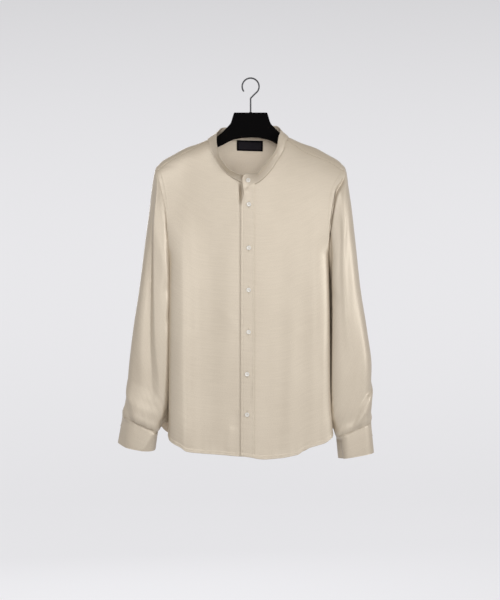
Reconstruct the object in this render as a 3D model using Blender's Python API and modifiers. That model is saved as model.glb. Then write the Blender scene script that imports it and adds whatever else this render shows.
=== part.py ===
"""Band-collar shirt, buttoned, on a flat-topped hanger.

Units are metres and +Z is up. The front faces -Y, and the origin is the seat inside the top of the
hanger's hook. Left and right are the wearer's, so the wearer's right side lies on -X.

Every sewn piece is worked out as a grid of points in rows and columns, from the sizes and short
tables below. Pieces that meet at a seam take that seam's points from the same function, so they
share its line, and each wall is then drawn back a little from it.
"""
import math

import bmesh
import bpy
import numpy as np
from mathutils import Vector

RIGHT, LEFT = -1, 1
FRONT, BACK = -1, 1

# Cloth walls, and the gap that parts two pieces at a seam
WALL = 0.0014
SEAM_GAP = 0.0003
SEAM_PULL = 0.0002  # how far each piece is drawn back from a seam
SLEEVE_PULL = 0.0005
MOST_MITRE = 1.3  # the most a wall's direction is lengthened at a seam's corner

# Heights of the torso's landmarks, all below the hook seat
SHOULDER_POINT = -0.2045
UNDERARM = -0.402
SIDE_HEM = -0.792

# The front and back hang this far from the middle plane, and curve out to there over this reach
HANG_DEPTH = {FRONT: 0.055, BACK: 0.050}
HANG_REACH = 0.057
CORNER = 5.0  # squareness of the torso's section, 2 is an ellipse
SIDE_TUCK_WIDTH = 0.020  # reach of the side seam's tuck from the middle plane

# The buttoned edge
PLACKET_EDGE = -0.0220
PLACKET_INNER = 0.0100
PLACKET_WALL = 0.0012
OVERLAP_LIFT = 0.0013
OVERLAP_FADE = 0.030  # width over which a front comes back from the lap

# Grid sizes
RING = 28  # points round an armhole, a sleeve and a cuff
FRONT_SEAM_AT, BACK_SEAM_AT = 2, 4  # ring points from the top to the yoke's two seams
LOW_ROWS = 13
PLACKET_COLUMNS, NECK_COLUMNS, SHOULDER_COLUMNS, BACK_NECK_COLUMNS = 3, 6, 7, 10
BACK_NECK_SHARE = 0.50  # share of the half back whose columns end at the neck

# Buttons
BUTTON_RADIUS = 0.0052
BUTTON_HEIGHT = 0.0026
BUTTON_RIM = 0.0006
BUTTON_SIDES = 16
COLLAR_BUTTON_LIFT = 0.0006  # clears the band, which curves under the button

# Hanger and hook
HANGER_HALF = 0.0060
HANGER_FLARE = 0.0030
HANGER_ROUND = 0.0022
HOOK_WIRE = 0.0018
HOOK_RADIUS = 0.0194
HOOK_STEM_TOP = -0.0455


class Table:
    """Rows of sizes under named columns, read smoothly at any value of the first column."""

    def __init__(self, columns, *rows):
        values = np.array(rows, dtype=float)
        self.at = values[:, 0]
        self.columns = {name: values[:, place] for place, name in enumerate(columns.split())}

    def slopes(self, values):
        """A slope for each row from its two neighbours: level where the column turns back, so
        that the curve never swings past its rows."""
        rises = np.diff(values) / np.diff(self.at)
        before, after = rises[:-1], rises[1:]
        total = np.where(before * after > 0, before + after, 1.0)
        inner = np.where(before * after > 0, 2 * before * after / total, 0.0)
        return np.concatenate([rises[:1], inner, rises[-1:]])

    def read(self, column, at):
        """A cubic between two rows, with a slope at each row."""
        values = self.columns[column]
        slopes = self.slopes(values)
        at = np.clip(at, self.at[0], self.at[-1])
        row = np.clip(np.searchsorted(self.at, at) - 1, 0, len(self.at) - 2)
        step = self.at[row + 1] - self.at[row]
        part = (at - self.at[row]) / step
        rise = part * part * (3 - 2 * part)
        leave = part * (1 - part) ** 2 * step * slopes[row]
        arrive = part * part * (1 - part) * step * slopes[row + 1]
        return values[row] * (1 - rise) + values[row + 1] * rise + leave - arrive


# Height of the shoulder line by the distance from the middle; it runs on under the neck
RIDGE = Table("out height",
              (0.000, -0.1040), (0.050, -0.1185), (0.090, -0.1360), (0.115, -0.1475),
              (0.149, -0.1595), (0.175, -0.1735), (0.202, -0.1890), (0.217, -0.2045))

# Half width of the torso by height: side edge below the underarm, armhole seam above it
HALF_WIDTH = {
    RIGHT: Table("height out",
                 (-0.870, 0.1880), (-0.700, 0.1875), (-0.545, 0.1870), (-0.430, 0.1870),
                 (-0.402, 0.1885), (-0.337, 0.1922), (-0.270, 0.2006), (-0.220, 0.2130),
                 (SHOULDER_POINT, 0.2170)),
    LEFT: Table("height out",
                (-0.870, 0.1895), (-0.800, 0.1880), (-0.750, 0.1845), (-0.700, 0.1832),
                (-0.545, 0.1825), (-0.450, 0.1803), (-0.402, 0.1785), (-0.338, 0.1815),
                (-0.303, 0.1850), (-0.261, 0.1919), (-0.224, 0.2115), (SHOULDER_POINT, 0.2165)),
}

# How far the side seam is drawn in between front and back, by height
SIDE_TUCK = Table("height depth",
                  (-0.870, 0.018), (-0.792, 0.020), (-0.650, 0.027), (-0.520, 0.024),
                  (-0.440, 0.010), (UNDERARM, 0.0))

# How far the back swings out beside the front near its hem, by height
TAIL_FLARE = {
    RIGHT: Table("height out", (-0.870, 0.027), (-0.800, 0.026), (-0.760, 0.018), (-0.720, 0.006),
                 (-0.670, 0.0)),
    LEFT: Table("height out", (-0.870, 0.004), (-0.800, 0.003), (-0.740, 0.001), (-0.690, 0.0)),
}

# Neckline of each front by the distance from the middle, and the yoke seam that carries it on
FRONT_TOP = {
    RIGHT: Table("out height",
                 (-0.0100, -0.2535), (0.0082, -0.2466), (0.0239, -0.2384), (0.0427, -0.2282),
                 (0.0631, -0.2105), (0.0821, -0.1831), (0.0925, -0.1620), (0.0965, -0.1455),
                 (0.1295, -0.1615), (0.1608, -0.1775), (0.1890, -0.1935), (0.2150, -0.2144)),
    LEFT: Table("out height",
                (-0.0220, -0.2610), (-0.0121, -0.2553), (0.0031, -0.2467), (0.0168, -0.2400),
                (0.0304, -0.2287), (0.0487, -0.2085), (0.0608, -0.1898), (0.0747, -0.1677),
                (0.0835, -0.1425), (0.0986, -0.1530), (0.1150, -0.1645), (0.1336, -0.1745),
                (0.1686, -0.1880), (0.1949, -0.2015), (0.2135, -0.2144)),
}
NECK_CORNER = {RIGHT: 0.0965, LEFT: 0.0835}

# The neck's back edge runs between the two corners, this far behind the middle plane, and swells
# out by a share of its width before it turns in
BACK_NECK_DEPTH = 0.0250
BACK_NECK_SWELL = {RIGHT: 0.12, LEFT: 0.22}
BACK_SEAM_MIDDLE = -0.2280

# Shirt-tail hem by the distance along a row, from the middle (0) to the side seam (1)
HEM = {
    (FRONT, RIGHT): Table("along height",
                          (-0.10, -0.8640), (0.10, -0.8630), (0.30, -0.8590), (0.45, -0.8561),
                          (0.55, -0.8535), (0.60, -0.8511), (0.65, -0.8425), (0.72, -0.8345),
                          (0.76, -0.8291), (0.80, -0.8191), (0.84, -0.8051), (0.88, -0.7990),
                          (1.00, SIDE_HEM)),
    (FRONT, LEFT): Table("along height",
                         (-0.10, -0.8620), (0.00, -0.8650), (0.13, -0.8695), (0.30, -0.8665),
                         (0.40, -0.8618), (0.45, -0.8587), (0.50, -0.8501), (0.55, -0.8442),
                         (0.65, -0.8370), (0.70, -0.8336), (0.76, -0.8252), (0.80, -0.8187),
                         (0.84, -0.8097), (0.88, -0.8000), (1.00, SIDE_HEM)),
    (BACK, RIGHT): Table("along height",
                         (0.00, -0.8740), (0.30, -0.8700), (0.52, -0.8580), (0.66, -0.8380),
                         (0.72, -0.8250), (0.78, -0.8120), (0.84, -0.7950), (0.90, -0.7925),
                         (1.00, SIDE_HEM)),
    (BACK, LEFT): Table("along height",
                        (0.00, -0.8740), (0.30, -0.8720), (0.45, -0.8665), (0.52, -0.8625),
                        (0.60, -0.8530), (0.66, -0.8450), (0.76, -0.8280), (0.82, -0.8140),
                        (0.90, -0.7980), (1.00, SIDE_HEM)),
}

# Soft folds in the hanging cloth: where each starts and ends, how wide and how proud it is
FOLD_COLUMNS = "x_top z_top x_low z_low width rise"
FOLDS = {
    FRONT: (
        (-0.148, -0.255, -0.140, -0.900, 0.0150, 0.0050),
        (-0.088, -0.300, -0.092, -0.880, 0.0170, -0.0040),
        (-0.070, -0.520, -0.022, -0.590, 0.0120, 0.0030),
        (0.070, -0.330, 0.060, -0.880, 0.0200, -0.0035),
        (0.146, -0.260, 0.142, -0.900, 0.0140, 0.0040),
        (0.112, -0.420, 0.108, -0.880, 0.0150, -0.0035),
    ),
    BACK: (
        (-0.120, -0.250, -0.135, -0.920, 0.0190, 0.0070),
        (-0.072, -0.235, -0.078, -0.920, 0.0170, -0.0065),
        (-0.004, -0.190, 0.006, -0.920, 0.0210, -0.0080),
        (0.048, -0.260, 0.052, -0.920, 0.0180, 0.0060),
        (0.094, -0.235, 0.104, -0.920, 0.0170, -0.0065),
        (0.140, -0.260, 0.148, -0.920, 0.0170, 0.0050),
    ),
}

# Sleeves by the share of their length: the ring's outer and inner points and its half depth
SLEEVE = {
    RIGHT: Table("share outer_x outer_z inner_x inner_z deep middle",
                 (0.00, 0.2170, -0.2045, 0.1885, -0.4020, 0.046, 0.002),
                 (0.03, 0.2188, -0.2085, 0.1925, -0.4035, 0.047, 0.002),
                 (0.08, 0.2215, -0.2160, 0.1935, -0.4080, 0.049, 0.002),
                 (0.18, 0.2265, -0.2450, 0.1920, -0.4260, 0.052, 0.002),
                 (0.30, 0.2335, -0.3050, 0.1905, -0.4560, 0.053, 0.001),
                 (0.42, 0.2425, -0.3780, 0.1895, -0.4980, 0.051, 0.000),
                 (0.55, 0.2542, -0.4780, 0.1898, -0.5630, 0.048, -0.002),
                 (0.68, 0.2690, -0.5780, 0.1910, -0.6380, 0.044, -0.004),
                 (0.80, 0.2785, -0.6600, 0.1930, -0.7080, 0.040, -0.005),
                 (0.90, 0.2840, -0.7220, 0.1955, -0.7600, 0.036, -0.005),
                 (1.00, 0.2928, -0.7710, 0.2132, -0.8078, 0.031, -0.004)),
    LEFT: Table("share outer_x outer_z inner_x inner_z deep middle",
                (0.00, 0.2165, -0.2045, 0.1785, -0.4020, 0.046, 0.002),
                (0.03, 0.2180, -0.2090, 0.1830, -0.4035, 0.047, 0.002),
                (0.08, 0.2205, -0.2180, 0.1860, -0.4085, 0.049, 0.002),
                (0.18, 0.2245, -0.2480, 0.1875, -0.4270, 0.052, 0.002),
                (0.30, 0.2320, -0.3050, 0.1880, -0.4560, 0.053, 0.001),
                (0.42, 0.2402, -0.3780, 0.1885, -0.4980, 0.051, 0.000),
                (0.55, 0.2515, -0.4820, 0.1880, -0.5640, 0.048, -0.002),
                (0.68, 0.2670, -0.5800, 0.1862, -0.6440, 0.044, -0.004),
                (0.80, 0.2768, -0.6600, 0.1842, -0.7150, 0.040, -0.005),
                (0.90, 0.2752, -0.7250, 0.1845, -0.7700, 0.036, -0.005),
                (1.00, 0.2755, -0.7864, 0.1969, -0.8193, 0.031, -0.004)),
}
SLEEVE_SHARES = (0.0, 0.03, 0.07, 0.12, 0.18, 0.24, 0.30, 0.36, 0.42, 0.49, 0.56, 0.63, 0.70,
                 0.77, 0.84, 0.89, 0.93, 0.965, 1.0)
SLEEVE_SQUARE = 2.3

# Creases along a sleeve: angle from the outer edge towards the front in degrees, and depth
CREASES = {
    RIGHT: (
        Table("share angle depth",
              (0.03, 18, 0.0), (0.10, 32, 0.006), (0.18, 47, 0.011), (0.30, 61, 0.012),
              (0.42, 77, 0.011), (0.55, 90, 0.008), (0.68, 100, 0.004), (0.80, 108, 0.0)),
        Table("share angle depth",
              (0.84, 8, 0.0), (0.89, 32, 0.004), (0.94, 58, 0.006), (0.98, 76, 0.003),
              (1.00, 83, 0.0)),
        Table("share angle depth",
              (0.30, 250, 0.0), (0.50, 262, 0.006), (0.75, 270, 0.005), (0.95, 276, 0.0)),
    ),
    LEFT: (
        Table("share angle depth",
              (0.03, 116, 0.0), (0.09, 120, 0.007), (0.18, 124, 0.010), (0.30, 127, 0.010),
              (0.42, 130, 0.009), (0.55, 133, 0.006), (0.68, 136, 0.0)),
        Table("share angle depth",
              (0.82, 6, 0.0), (0.88, 28, 0.004), (0.93, 56, 0.005), (0.98, 78, 0.003),
              (1.00, 84, 0.0)),
        Table("share angle depth",
              (0.30, 285, 0.0), (0.52, 276, 0.005), (0.75, 266, 0.005), (0.95, 262, 0.0)),
    ),
}
CREASE_WIDTH = 15.0

# Each cuff's lower edge, and how much lower its front hangs than its back
CUFF_LOW = {
    RIGHT: {"outer": (0.3045, -0.8352), "inner": (0.2190, -0.8500), "deep": 0.031, "dip": 0.008},
    LEFT: {"outer": (0.2824, -0.8579), "inner": (0.2015, -0.8722), "deep": 0.031, "dip": 0.001},
}
CUFF_TOP_DIP = 0.004
CUFF_ROWS = 4
CUFF_EASE = 0.008  # share of the cuff's height left free at the sleeve's seam
CUFF_OPENING = 300.0  # degrees from the outer edge towards the front, so on the back
CUFF_OVERLAP = 3  # ring points that lie double at the opening
CUFF_LIFT = 0.0013  # the lap lies this far out, and the layer under it this far in
CUFF_BUTTON_SHARE = 0.5  # share of the cuff's height

# The band's top edge seen from the neckline below it, by the distance round from the buttons
BAND = {
    LEFT: Table("along inward forward up",
                (-0.0185, -0.0040, 0.0060, 0.0308), (-0.0070, 0.0020, 0.0070, 0.0320),
                (0.0000, 0.0025, 0.0080, 0.0293), (0.0104, 0.0040, 0.0110, 0.0238),
                (0.0256, 0.0050, 0.0150, 0.0173), (0.0434, 0.0111, 0.0170, 0.0110),
                (0.0709, 0.0129, 0.0170, 0.0102), (0.0935, 0.0133, 0.0160, 0.0075),
                (0.1200, 0.0148, 0.0130, 0.0066), (0.1460, 0.0168, 0.0080, 0.0117),
                (0.1680, 0.0166, 0.0030, 0.0160), (0.1950, 0.0110, 0.0000, 0.0268),
                (0.2650, 0.0000, 0.0010, 0.0295)),
    RIGHT: Table("along inward forward up",
                 (-0.0200, 0.0040, -0.0020, 0.0160), (-0.0100, 0.0035, 0.0000, 0.0200),
                 (0.0000, 0.0033, 0.0030, 0.0221), (0.0200, 0.0076, 0.0110, 0.0130),
                 (0.0418, 0.0087, 0.0160, 0.0084), (0.0690, 0.0099, 0.0175, 0.0025),
                 (0.0960, 0.0095, 0.0165, 0.0028), (0.1180, 0.0138, 0.0130, 0.0049),
                 (0.1474, 0.0178, 0.0080, 0.0128), (0.1650, 0.0216, 0.0030, 0.0180),
                 (0.1950, 0.0110, 0.0000, 0.0274), (0.2630, 0.0000, 0.0010, 0.0295)),
}
BAND_ROWS = 4
BAND_CURL = 1.5  # the band leaves its seam upright and leans out towards its top
BAND_EASE = 0.03  # share of the band's height left free at the neck seam
BUTTON_LINE = -0.0060  # where the line of buttons meets the neck seam

# Front buttons from the collar down: place across and height
BUTTONS = ((-0.0068, -0.2359), (-0.0048, -0.2927), (-0.0055, -0.3897), (-0.0062, -0.4857),
           (-0.0057, -0.5801), (-0.0064, -0.6759), (-0.0082, -0.7690))

# Neck label, on the inside of the yoke: its half width, its middle, and its top and low edges as
# shares of the yoke's depth
LABEL_HALF_WIDTH = 0.0300
LABEL_MIDDLE = -0.0020
LABEL_TOP, LABEL_LOW = 0.025, 0.320
LABEL_WALL = 0.0010

# Hanger outline by the distance from the middle
HANGER = Table("out top bottom",
               (0.000, -0.0780, -0.1342), (0.020, -0.0780, -0.1352), (0.0375, -0.0780, -0.1390),
               (0.0400, -0.0840, -0.1398), (0.0455, -0.1015, -0.1420), (0.0530, -0.1110, -0.1455),
               (0.0612, -0.1190, -0.1500), (0.0683, -0.1262, -0.1535), (0.0773, -0.1335, -0.1577),
               (0.0835, -0.1385, -0.1610), (0.0900, -0.1440, -0.1645), (0.0970, -0.1495, -0.1680),
               (0.120, -0.1605, -0.1780), (0.150, -0.1710, -0.1885), (0.175, -0.1835, -0.1985),
               (0.193, -0.1955, -0.2065), (0.200, -0.2015, -0.2075))


def smooth_step(value):
    """0 below 0, 1 above 1, and an even S between."""
    value = np.clip(value, 0.0, 1.0)
    return value * value * (3 - 2 * value)


def hang_depth(face, drop):
    """Distance of the cloth from the middle plane, at a drop below the shoulder line."""
    drop = np.maximum(drop, 0.0)
    return HANG_DEPTH[face] * (1 - np.exp(-np.sqrt(drop / HANG_REACH)))


def hang_drop(face, depth):
    """The drop at which the cloth hangs at a given depth, the inverse of hang_depth."""
    return HANG_REACH * np.log(1 - np.abs(depth) / HANG_DEPTH[face]) ** 2


def fold_relief(face, x, z):
    """Sum of the soft folds at a place on one face."""
    relief = np.zeros(np.broadcast(x, z).shape)
    for row in FOLDS[face]:
        fold = dict(zip(FOLD_COLUMNS.split(), row))
        along = (fold["z_top"] - z) / (fold["z_top"] - fold["z_low"])
        middle = fold["x_top"] + (fold["x_low"] - fold["x_top"]) * along
        ends = smooth_step(along * 4) * smooth_step((1.1 - along) * 4)
        relief = relief + fold["rise"] * ends * np.exp(-(((x - middle) / fold["width"]) ** 2))
    return relief


def torso_point(side, face, turn, z):
    """Points of the hanging body: turn is 0 at the middle and a quarter circle at the edge."""
    edge = HALF_WIDTH[side].read("out", z)
    across = np.sign(turn) * np.abs(np.sin(turn)) ** (2 / CORNER)
    inset = np.cos(turn) ** (2 / CORNER)
    out = edge * across
    depth = hang_depth(face, RIDGE.read("height", np.abs(out)) - z)
    climb = np.clip((SHOULDER_POINT - z) / (SHOULDER_POINT - UNDERARM), 0.0, 1.0)
    edge_depth = hang_depth(face, RIDGE.read("height", edge) - z) * np.sqrt(1 - climb ** 4)
    depth = edge_depth + (depth - edge_depth + fold_relief(face, side * out, z)) * inset
    out = out - SIDE_TUCK.read("depth", z) * np.exp(-((depth / SIDE_TUCK_WIDTH) ** 2))
    if face == BACK:
        flare = TAIL_FLARE[side].read("out", z) * np.abs(across) ** 4
        out = out + flare * smooth_step(depth / 0.045)
    return np.stack([side * out, face * depth, z + 0 * out], axis=-1)


def armhole_heights():
    """Heights of the armhole's points, from the shoulder point down to the underarm."""
    angle = np.arange(RING // 2 + 1) * 2 * math.pi / RING
    return UNDERARM + (SHOULDER_POINT - UNDERARM) * (1 + np.cos(angle)) / 2


def armhole_loop(side):
    """The armhole's ring: top, front, underarm, back."""
    heights = armhole_heights()
    edge = np.full(heights.shape, math.pi / 2)
    front = torso_point(side, FRONT, edge, heights)
    back = torso_point(side, BACK, edge, heights)
    return np.concatenate([front, back[-2:0:-1], front[:1]])


def turn_for_length(side, face, shares):
    """The turn that lies at each share of a row's length, on a row well below the underarm."""
    turns = np.linspace(0, math.pi / 2, 400)
    row = torso_point(side, face, turns, np.full(turns.shape, -0.62))
    steps = np.linalg.norm(np.diff(row, axis=0), axis=1)
    lengths = np.concatenate([[0], np.cumsum(steps)])
    shares = np.asarray(shares)
    turn = np.interp(np.abs(shares), lengths / lengths[-1], turns)
    return np.sign(shares) * turn


def panel(side, face, shares, tops):
    """A front or half back: columns at shares of the half width, rows from the hem to tops.
    Columns near the middle hang straight down, the others follow the panel's width."""
    shares = np.asarray(shares, float)
    hems = HEM[face, side].read("height", shares)
    low = np.linspace(hems[-1], UNDERARM, LOW_ROWS + 1)
    first = {FRONT: FRONT_SEAM_AT, BACK: BACK_SEAM_AT}[face]
    armhole = armhole_heights()[first:-1][::-1]
    rows = (np.concatenate([low, armhole]) - hems[-1]) / (tops[-1] - hems[-1])
    heights = hems + (tops - hems) * rows[:, None]
    upper = np.sign(shares) * np.arcsin(np.clip(np.abs(shares), 0, 1) ** (CORNER / 2))
    lower = turn_for_length(side, face, shares)
    rise = smooth_step((heights - UNDERARM + 0.03) / 0.10)
    turns = lower * (1 - rise) + upper * rise
    reach = shares * HALF_WIDTH[side].read("out", SHOULDER_POINT)
    straight = np.abs(reach) / HALF_WIDTH[side].read("out", heights)
    straight = np.sign(shares) * np.arcsin(np.clip(straight, 0, 1) ** (CORNER / 2))
    near = 1 - smooth_step((np.abs(shares) - 0.08) / 0.40)
    turns = turns * (1 - near) + straight * near
    turns[:, -1] = math.pi / 2
    return torso_point(side, face, turns, heights)


def border_height(side, shares, height_at):
    """Heights of a border given over x, at shares of the half width."""
    shares = np.asarray(shares, float)
    heights = height_at(shares * HALF_WIDTH[side].read("out", SHOULDER_POINT))
    for _ in range(4):
        heights = height_at(shares * HALF_WIDTH[side].read("out", heights))
    return heights


def front_shares(side):
    """Column places of a front: placket, neckline and shoulder."""
    full = HALF_WIDTH[side].read("out", SHOULDER_POINT)
    edge = {LEFT: PLACKET_EDGE, RIGHT: -PLACKET_INNER}[side]
    inner = {LEFT: PLACKET_INNER, RIGHT: -PLACKET_EDGE}[side]
    placket = np.linspace(edge, inner, PLACKET_COLUMNS + 1)
    bend = np.sin(np.linspace(0, math.pi / 2, NECK_COLUMNS + 1)) * 0.55
    bend = bend + 0.45 * np.linspace(0, 1, NECK_COLUMNS + 1)
    neck = inner + (NECK_CORNER[side] - inner) * bend
    shoulder = np.linspace(NECK_CORNER[side], full, SHOULDER_COLUMNS + 1)
    return np.concatenate([placket[:-1], neck[:-1], shoulder]) / full


def front_grid(side):
    """One front. Where the two lap at the buttons, the left one is lifted over the right one."""
    shares = front_shares(side)
    tops = border_height(side, shares, lambda x: FRONT_TOP[side].read("height", x))
    tops[-1] = armhole_heights()[FRONT_SEAM_AT]
    grid = panel(side, FRONT, shares, tops)
    beyond = side * grid[..., 0] - {LEFT: PLACKET_INNER, RIGHT: -PLACKET_EDGE}[side]
    lap = 1 - smooth_step(beyond / OVERLAP_FADE)
    grid[..., 1] -= side * OVERLAP_LIFT * lap
    return grid


def back_seam_height(x):
    """The yoke's back seam, which sags a little towards the armholes."""
    ends = armhole_heights()[BACK_SEAM_AT]
    edge = HALF_WIDTH[RIGHT].read("out", ends)
    return BACK_SEAM_MIDDLE + (ends - BACK_SEAM_MIDDLE) * np.clip(np.abs(x) / edge, 0, 1) ** 2


def back_shares():
    """Column places of half the back, from the middle to the side: neck, then shoulder."""
    neck = np.linspace(0, BACK_NECK_SHARE, BACK_NECK_COLUMNS // 2 + 1)
    return np.concatenate([neck[:-1], np.linspace(BACK_NECK_SHARE, 1, SHOULDER_COLUMNS + 1)])


def back_grid():
    """The whole back panel, from the wearer's right side seam to the left one."""
    halves = {}
    for side in (RIGHT, LEFT):
        tops = border_height(side, back_shares(), back_seam_height)
        tops[-1] = armhole_heights()[BACK_SEAM_AT]
        halves[side] = panel(side, BACK, back_shares(), tops)
    middle = (halves[RIGHT][:, :1] + halves[LEFT][:, :1]) / 2
    return np.concatenate([halves[RIGHT][:, :0:-1], middle, halves[LEFT][:, 1:]], axis=1)


def shoulder_profile():
    """The curve over the shoulder in steps of length: depth and drop, front negative."""
    depths = np.concatenate([-HANG_DEPTH[FRONT] * np.linspace(0.9, 0, 200),
                             HANG_DEPTH[BACK] * np.linspace(0, 0.97, 400)[1:]])
    drops = np.where(depths < 0, hang_drop(FRONT, np.minimum(depths, 0)),
                     hang_drop(BACK, np.maximum(depths, 0)))
    steps = np.hypot(np.diff(depths), np.diff(drops))
    lengths = np.concatenate([[0], np.cumsum(steps)])
    return lengths, depths, drops


def yoke_top_border(fronts):
    """The yoke's upper border: right front seam, neck edge round the back, left front seam."""
    right = fronts[RIGHT][-1, -(SHOULDER_COLUMNS + 1):][::-1]
    left = fronts[LEFT][-1, -(SHOULDER_COLUMNS + 1):]
    start, end = right[-1], left[0]
    turn = np.linspace(math.pi, 0, BACK_NECK_COLUMNS + 1)[1:-1]
    half = (end[0] - start[0]) / 2
    swell = np.where(turn > math.pi / 2, BACK_NECK_SWELL[RIGHT], BACK_NECK_SWELL[LEFT])
    x = (start[0] + end[0]) / 2 + half * np.cos(turn) * (1 + swell * np.sin(turn))
    rim = start[1] + (end[1] - start[1]) * (1 - np.cos(turn - math.pi)) / 2
    y = rim + (BACK_NECK_DEPTH - rim) * np.sin(turn) ** 0.75
    drop = np.where(y < 0, hang_drop(FRONT, np.minimum(y, 0)), hang_drop(BACK, np.maximum(y, 0)))
    neck = np.stack([x, y, RIDGE.read("height", np.abs(x)) - drop], axis=-1)
    return np.concatenate([right, neck, left])


def yoke_grid(fronts, back):
    """The yoke: each column runs from the upper border over the shoulder to the back seam."""
    top, low = yoke_top_border(fronts), back[-1]
    lengths, depths, drops = shoulder_profile()
    start = np.interp(top[:, 1], depths, lengths)
    end = np.interp(low[:, 1], depths, lengths)
    loops = {side: armhole_loop(side) for side in (RIGHT, LEFT)}
    places = np.arange(FRONT_SEAM_AT, -BACK_SEAM_AT - 1, -1)
    side_lengths = np.interp(loops[RIGHT][places % RING][:, 1], depths, lengths)
    part = (side_lengths - side_lengths[0]) / (side_lengths[-1] - side_lengths[0])
    length = start + (end - start) * part[:, None]
    x = top[:, 0] + (low[:, 0] - top[:, 0]) * part[:, None] ** 0.6
    z = RIDGE.read("height", np.abs(x)) - np.interp(length, lengths, drops)
    grid = np.stack([x, np.interp(length, lengths, depths), z], axis=-1)
    ridge = np.interp(0.0, depths, lengths)
    near_front = np.clip((ridge - length) / np.maximum(ridge - start, 1e-9), 0, 1)
    near_back = np.clip((length - ridge) / (end - ridge), 0, 1)
    for border, at, share in ((top, 0, near_front), (low, -1, near_back)):
        share = np.where(part[:, None] == (at != 0), 1.0, share)
        grid = grid + (border - grid[at]) * share[..., None]
    grid[:, 0] = loops[RIGHT][places % RING]
    grid[:, -1] = loops[LEFT][places % RING]
    return grid


def ring_points(outer, inner, deep, middle, dip, angles, square):
    """A sleeve ring between its outer and inner points, squarer as square grows."""
    cos, sin = np.cos(angles), np.sin(angles)
    wide = np.sign(cos) * np.abs(cos) ** (2 / square)
    thick = np.sign(sin) * np.abs(sin) ** (2 / square)
    x = (outer[0] + inner[0]) / 2 + (outer[0] - inner[0]) / 2 * wide
    z = (outer[1] + inner[1]) / 2 + (outer[1] - inner[1]) / 2 * wide - dip * thick
    return np.stack([x, middle - deep * thick, z], axis=-1)


def crease_depth(side, share, angles):
    """Depth of the sleeve's creases at a share of its length, round the ring."""
    depth = np.zeros(angles.shape)
    for crease in CREASES[side]:
        if crease.at[0] < share < crease.at[-1]:
            away = np.degrees(angles) - crease.read("angle", share)
            away = (away + 180) % 360 - 180
            depth += crease.read("depth", share) * np.exp(-((away / CREASE_WIDTH) ** 2))
    return depth


def sleeve_ring(side, share):
    """One ring of a sleeve, before it is fitted to the armhole."""
    angles = np.arange(RING + 1) * 2 * math.pi / RING
    size = {name: SLEEVE[side].read(name, share) for name in SLEEVE[side].columns}
    ring = ring_points((size["outer_x"], size["outer_z"]), (size["inner_x"], size["inner_z"]),
                       size["deep"], size["middle"], CUFF_TOP_DIP * share, angles, SLEEVE_SQUARE)
    inward = ring.mean(axis=0) - ring
    inward /= np.linalg.norm(inward, axis=1)[:, None]
    return ring + inward * crease_depth(side, share, angles)[:, None]


def sleeve_grid(side):
    """A sleeve from the armhole's ring to the cuff's."""
    loop = armhole_loop(side) * (side, 1, 1)
    misfit = loop - sleeve_ring(side, 0.0)
    rings = []
    for share in SLEEVE_SHARES:
        rings.append(sleeve_ring(side, share) + misfit * (1 - smooth_step(share / 0.30)))
    return np.array(rings) * (side, 1, 1)


def cuff_grid(side, sleeve):
    """A cuff from the sleeve's last ring down, lapped over itself at its opening."""
    angles = np.arange(RING + 1) * 2 * math.pi / RING
    low = CUFF_LOW[side]
    bottom = ring_points(low["outer"], low["inner"], low["deep"], -0.003, low["dip"], angles,
                         SLEEVE_SQUARE) * (side, 1, 1)
    start = round(CUFF_OPENING / 360 * RING)
    order = (start + np.arange(RING + CUFF_OVERLAP + 1)) % RING
    part = np.linspace(CUFF_EASE, 1, CUFF_ROWS)[:, None, None]
    grid = sleeve[-1][order] * (1 - part) + bottom[order] * part
    centre = grid[:, :RING].mean(axis=1)[:, None]
    outward = grid - centre
    outward /= np.linalg.norm(outward, axis=2)[..., None]
    steps = np.arange(RING + CUFF_OVERLAP + 1)
    lift = smooth_step((steps - RING + CUFF_OVERLAP) / CUFF_OVERLAP)
    sink = 1 - smooth_step(steps / CUFF_OVERLAP - 1)
    return grid + outward * (CUFF_LIFT * (lift - sink))[None, :, None]


def button_length(seam, along, layer):
    """Length along the neckline at which one of its two layers passes the buttons."""
    front = layer & (np.abs(seam[:, 0]) < 0.05) & (seam[:, 1] < 0)
    order = np.argsort(seam[front, 0])
    return np.interp(BUTTON_LINE, seam[front, 0][order], along[front][order])


def band_grid(fronts, yoke):
    """The collar band: from the tab on the left front round the back to its end underneath."""
    neck = PLACKET_COLUMNS + NECK_COLUMNS + 1
    back = yoke[0, SHOULDER_COLUMNS + 1:-SHOULDER_COLUMNS - 1][::-1]
    seam = np.concatenate([fronts[LEFT][-1, :neck], back, fronts[RIGHT][-1, :neck][::-1]])
    steps = np.linalg.norm(np.diff(seam, axis=0), axis=1)
    along = np.concatenate([[0], np.cumsum(steps)])
    places = np.arange(len(seam))
    middle_back = (len(seam) - 1) / 2
    rise = np.zeros(seam.shape)
    for side, layer in ((LEFT, places <= middle_back), (RIGHT, places >= middle_back)):
        distance = side * (along - button_length(seam, along, layer))[layer]
        rise[layer] = np.stack([-side * BAND[side].read("inward", distance),
                                -BAND[side].read("forward", distance),
                                BAND[side].read("up", distance)], axis=-1)
    part = np.linspace(BAND_EASE, 1, BAND_ROWS)[:, None]
    return seam + rise * np.stack([part, part ** BAND_CURL, part], axis=-1)


def quad_normals(grid):
    """Unit normals of a grid's quads, from their diagonals."""
    normals = np.cross(grid[1:, 1:] - grid[:-1, :-1], grid[1:, :-1] - grid[:-1, 1:])
    return normals / np.linalg.norm(normals, axis=2)[..., None]


def corner_sums(grid, centre):
    """At each point, the sum of its quads' normals, turned away from a centre, and their count."""
    normals = quad_normals(grid)
    middles = (grid[1:, 1:] + grid[:-1, :-1]) / 2
    if np.sum(normals * (middles - centre)) < 0:
        normals = -normals
    sums, counts = np.zeros(grid.shape), np.zeros(grid.shape[:2])
    for row in (slice(0, -1), slice(1, None)):
        for column in (slice(0, -1), slice(1, None)):
            sums[row, column] += normals
            counts[row, column] += 1
    return sums, counts


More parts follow.
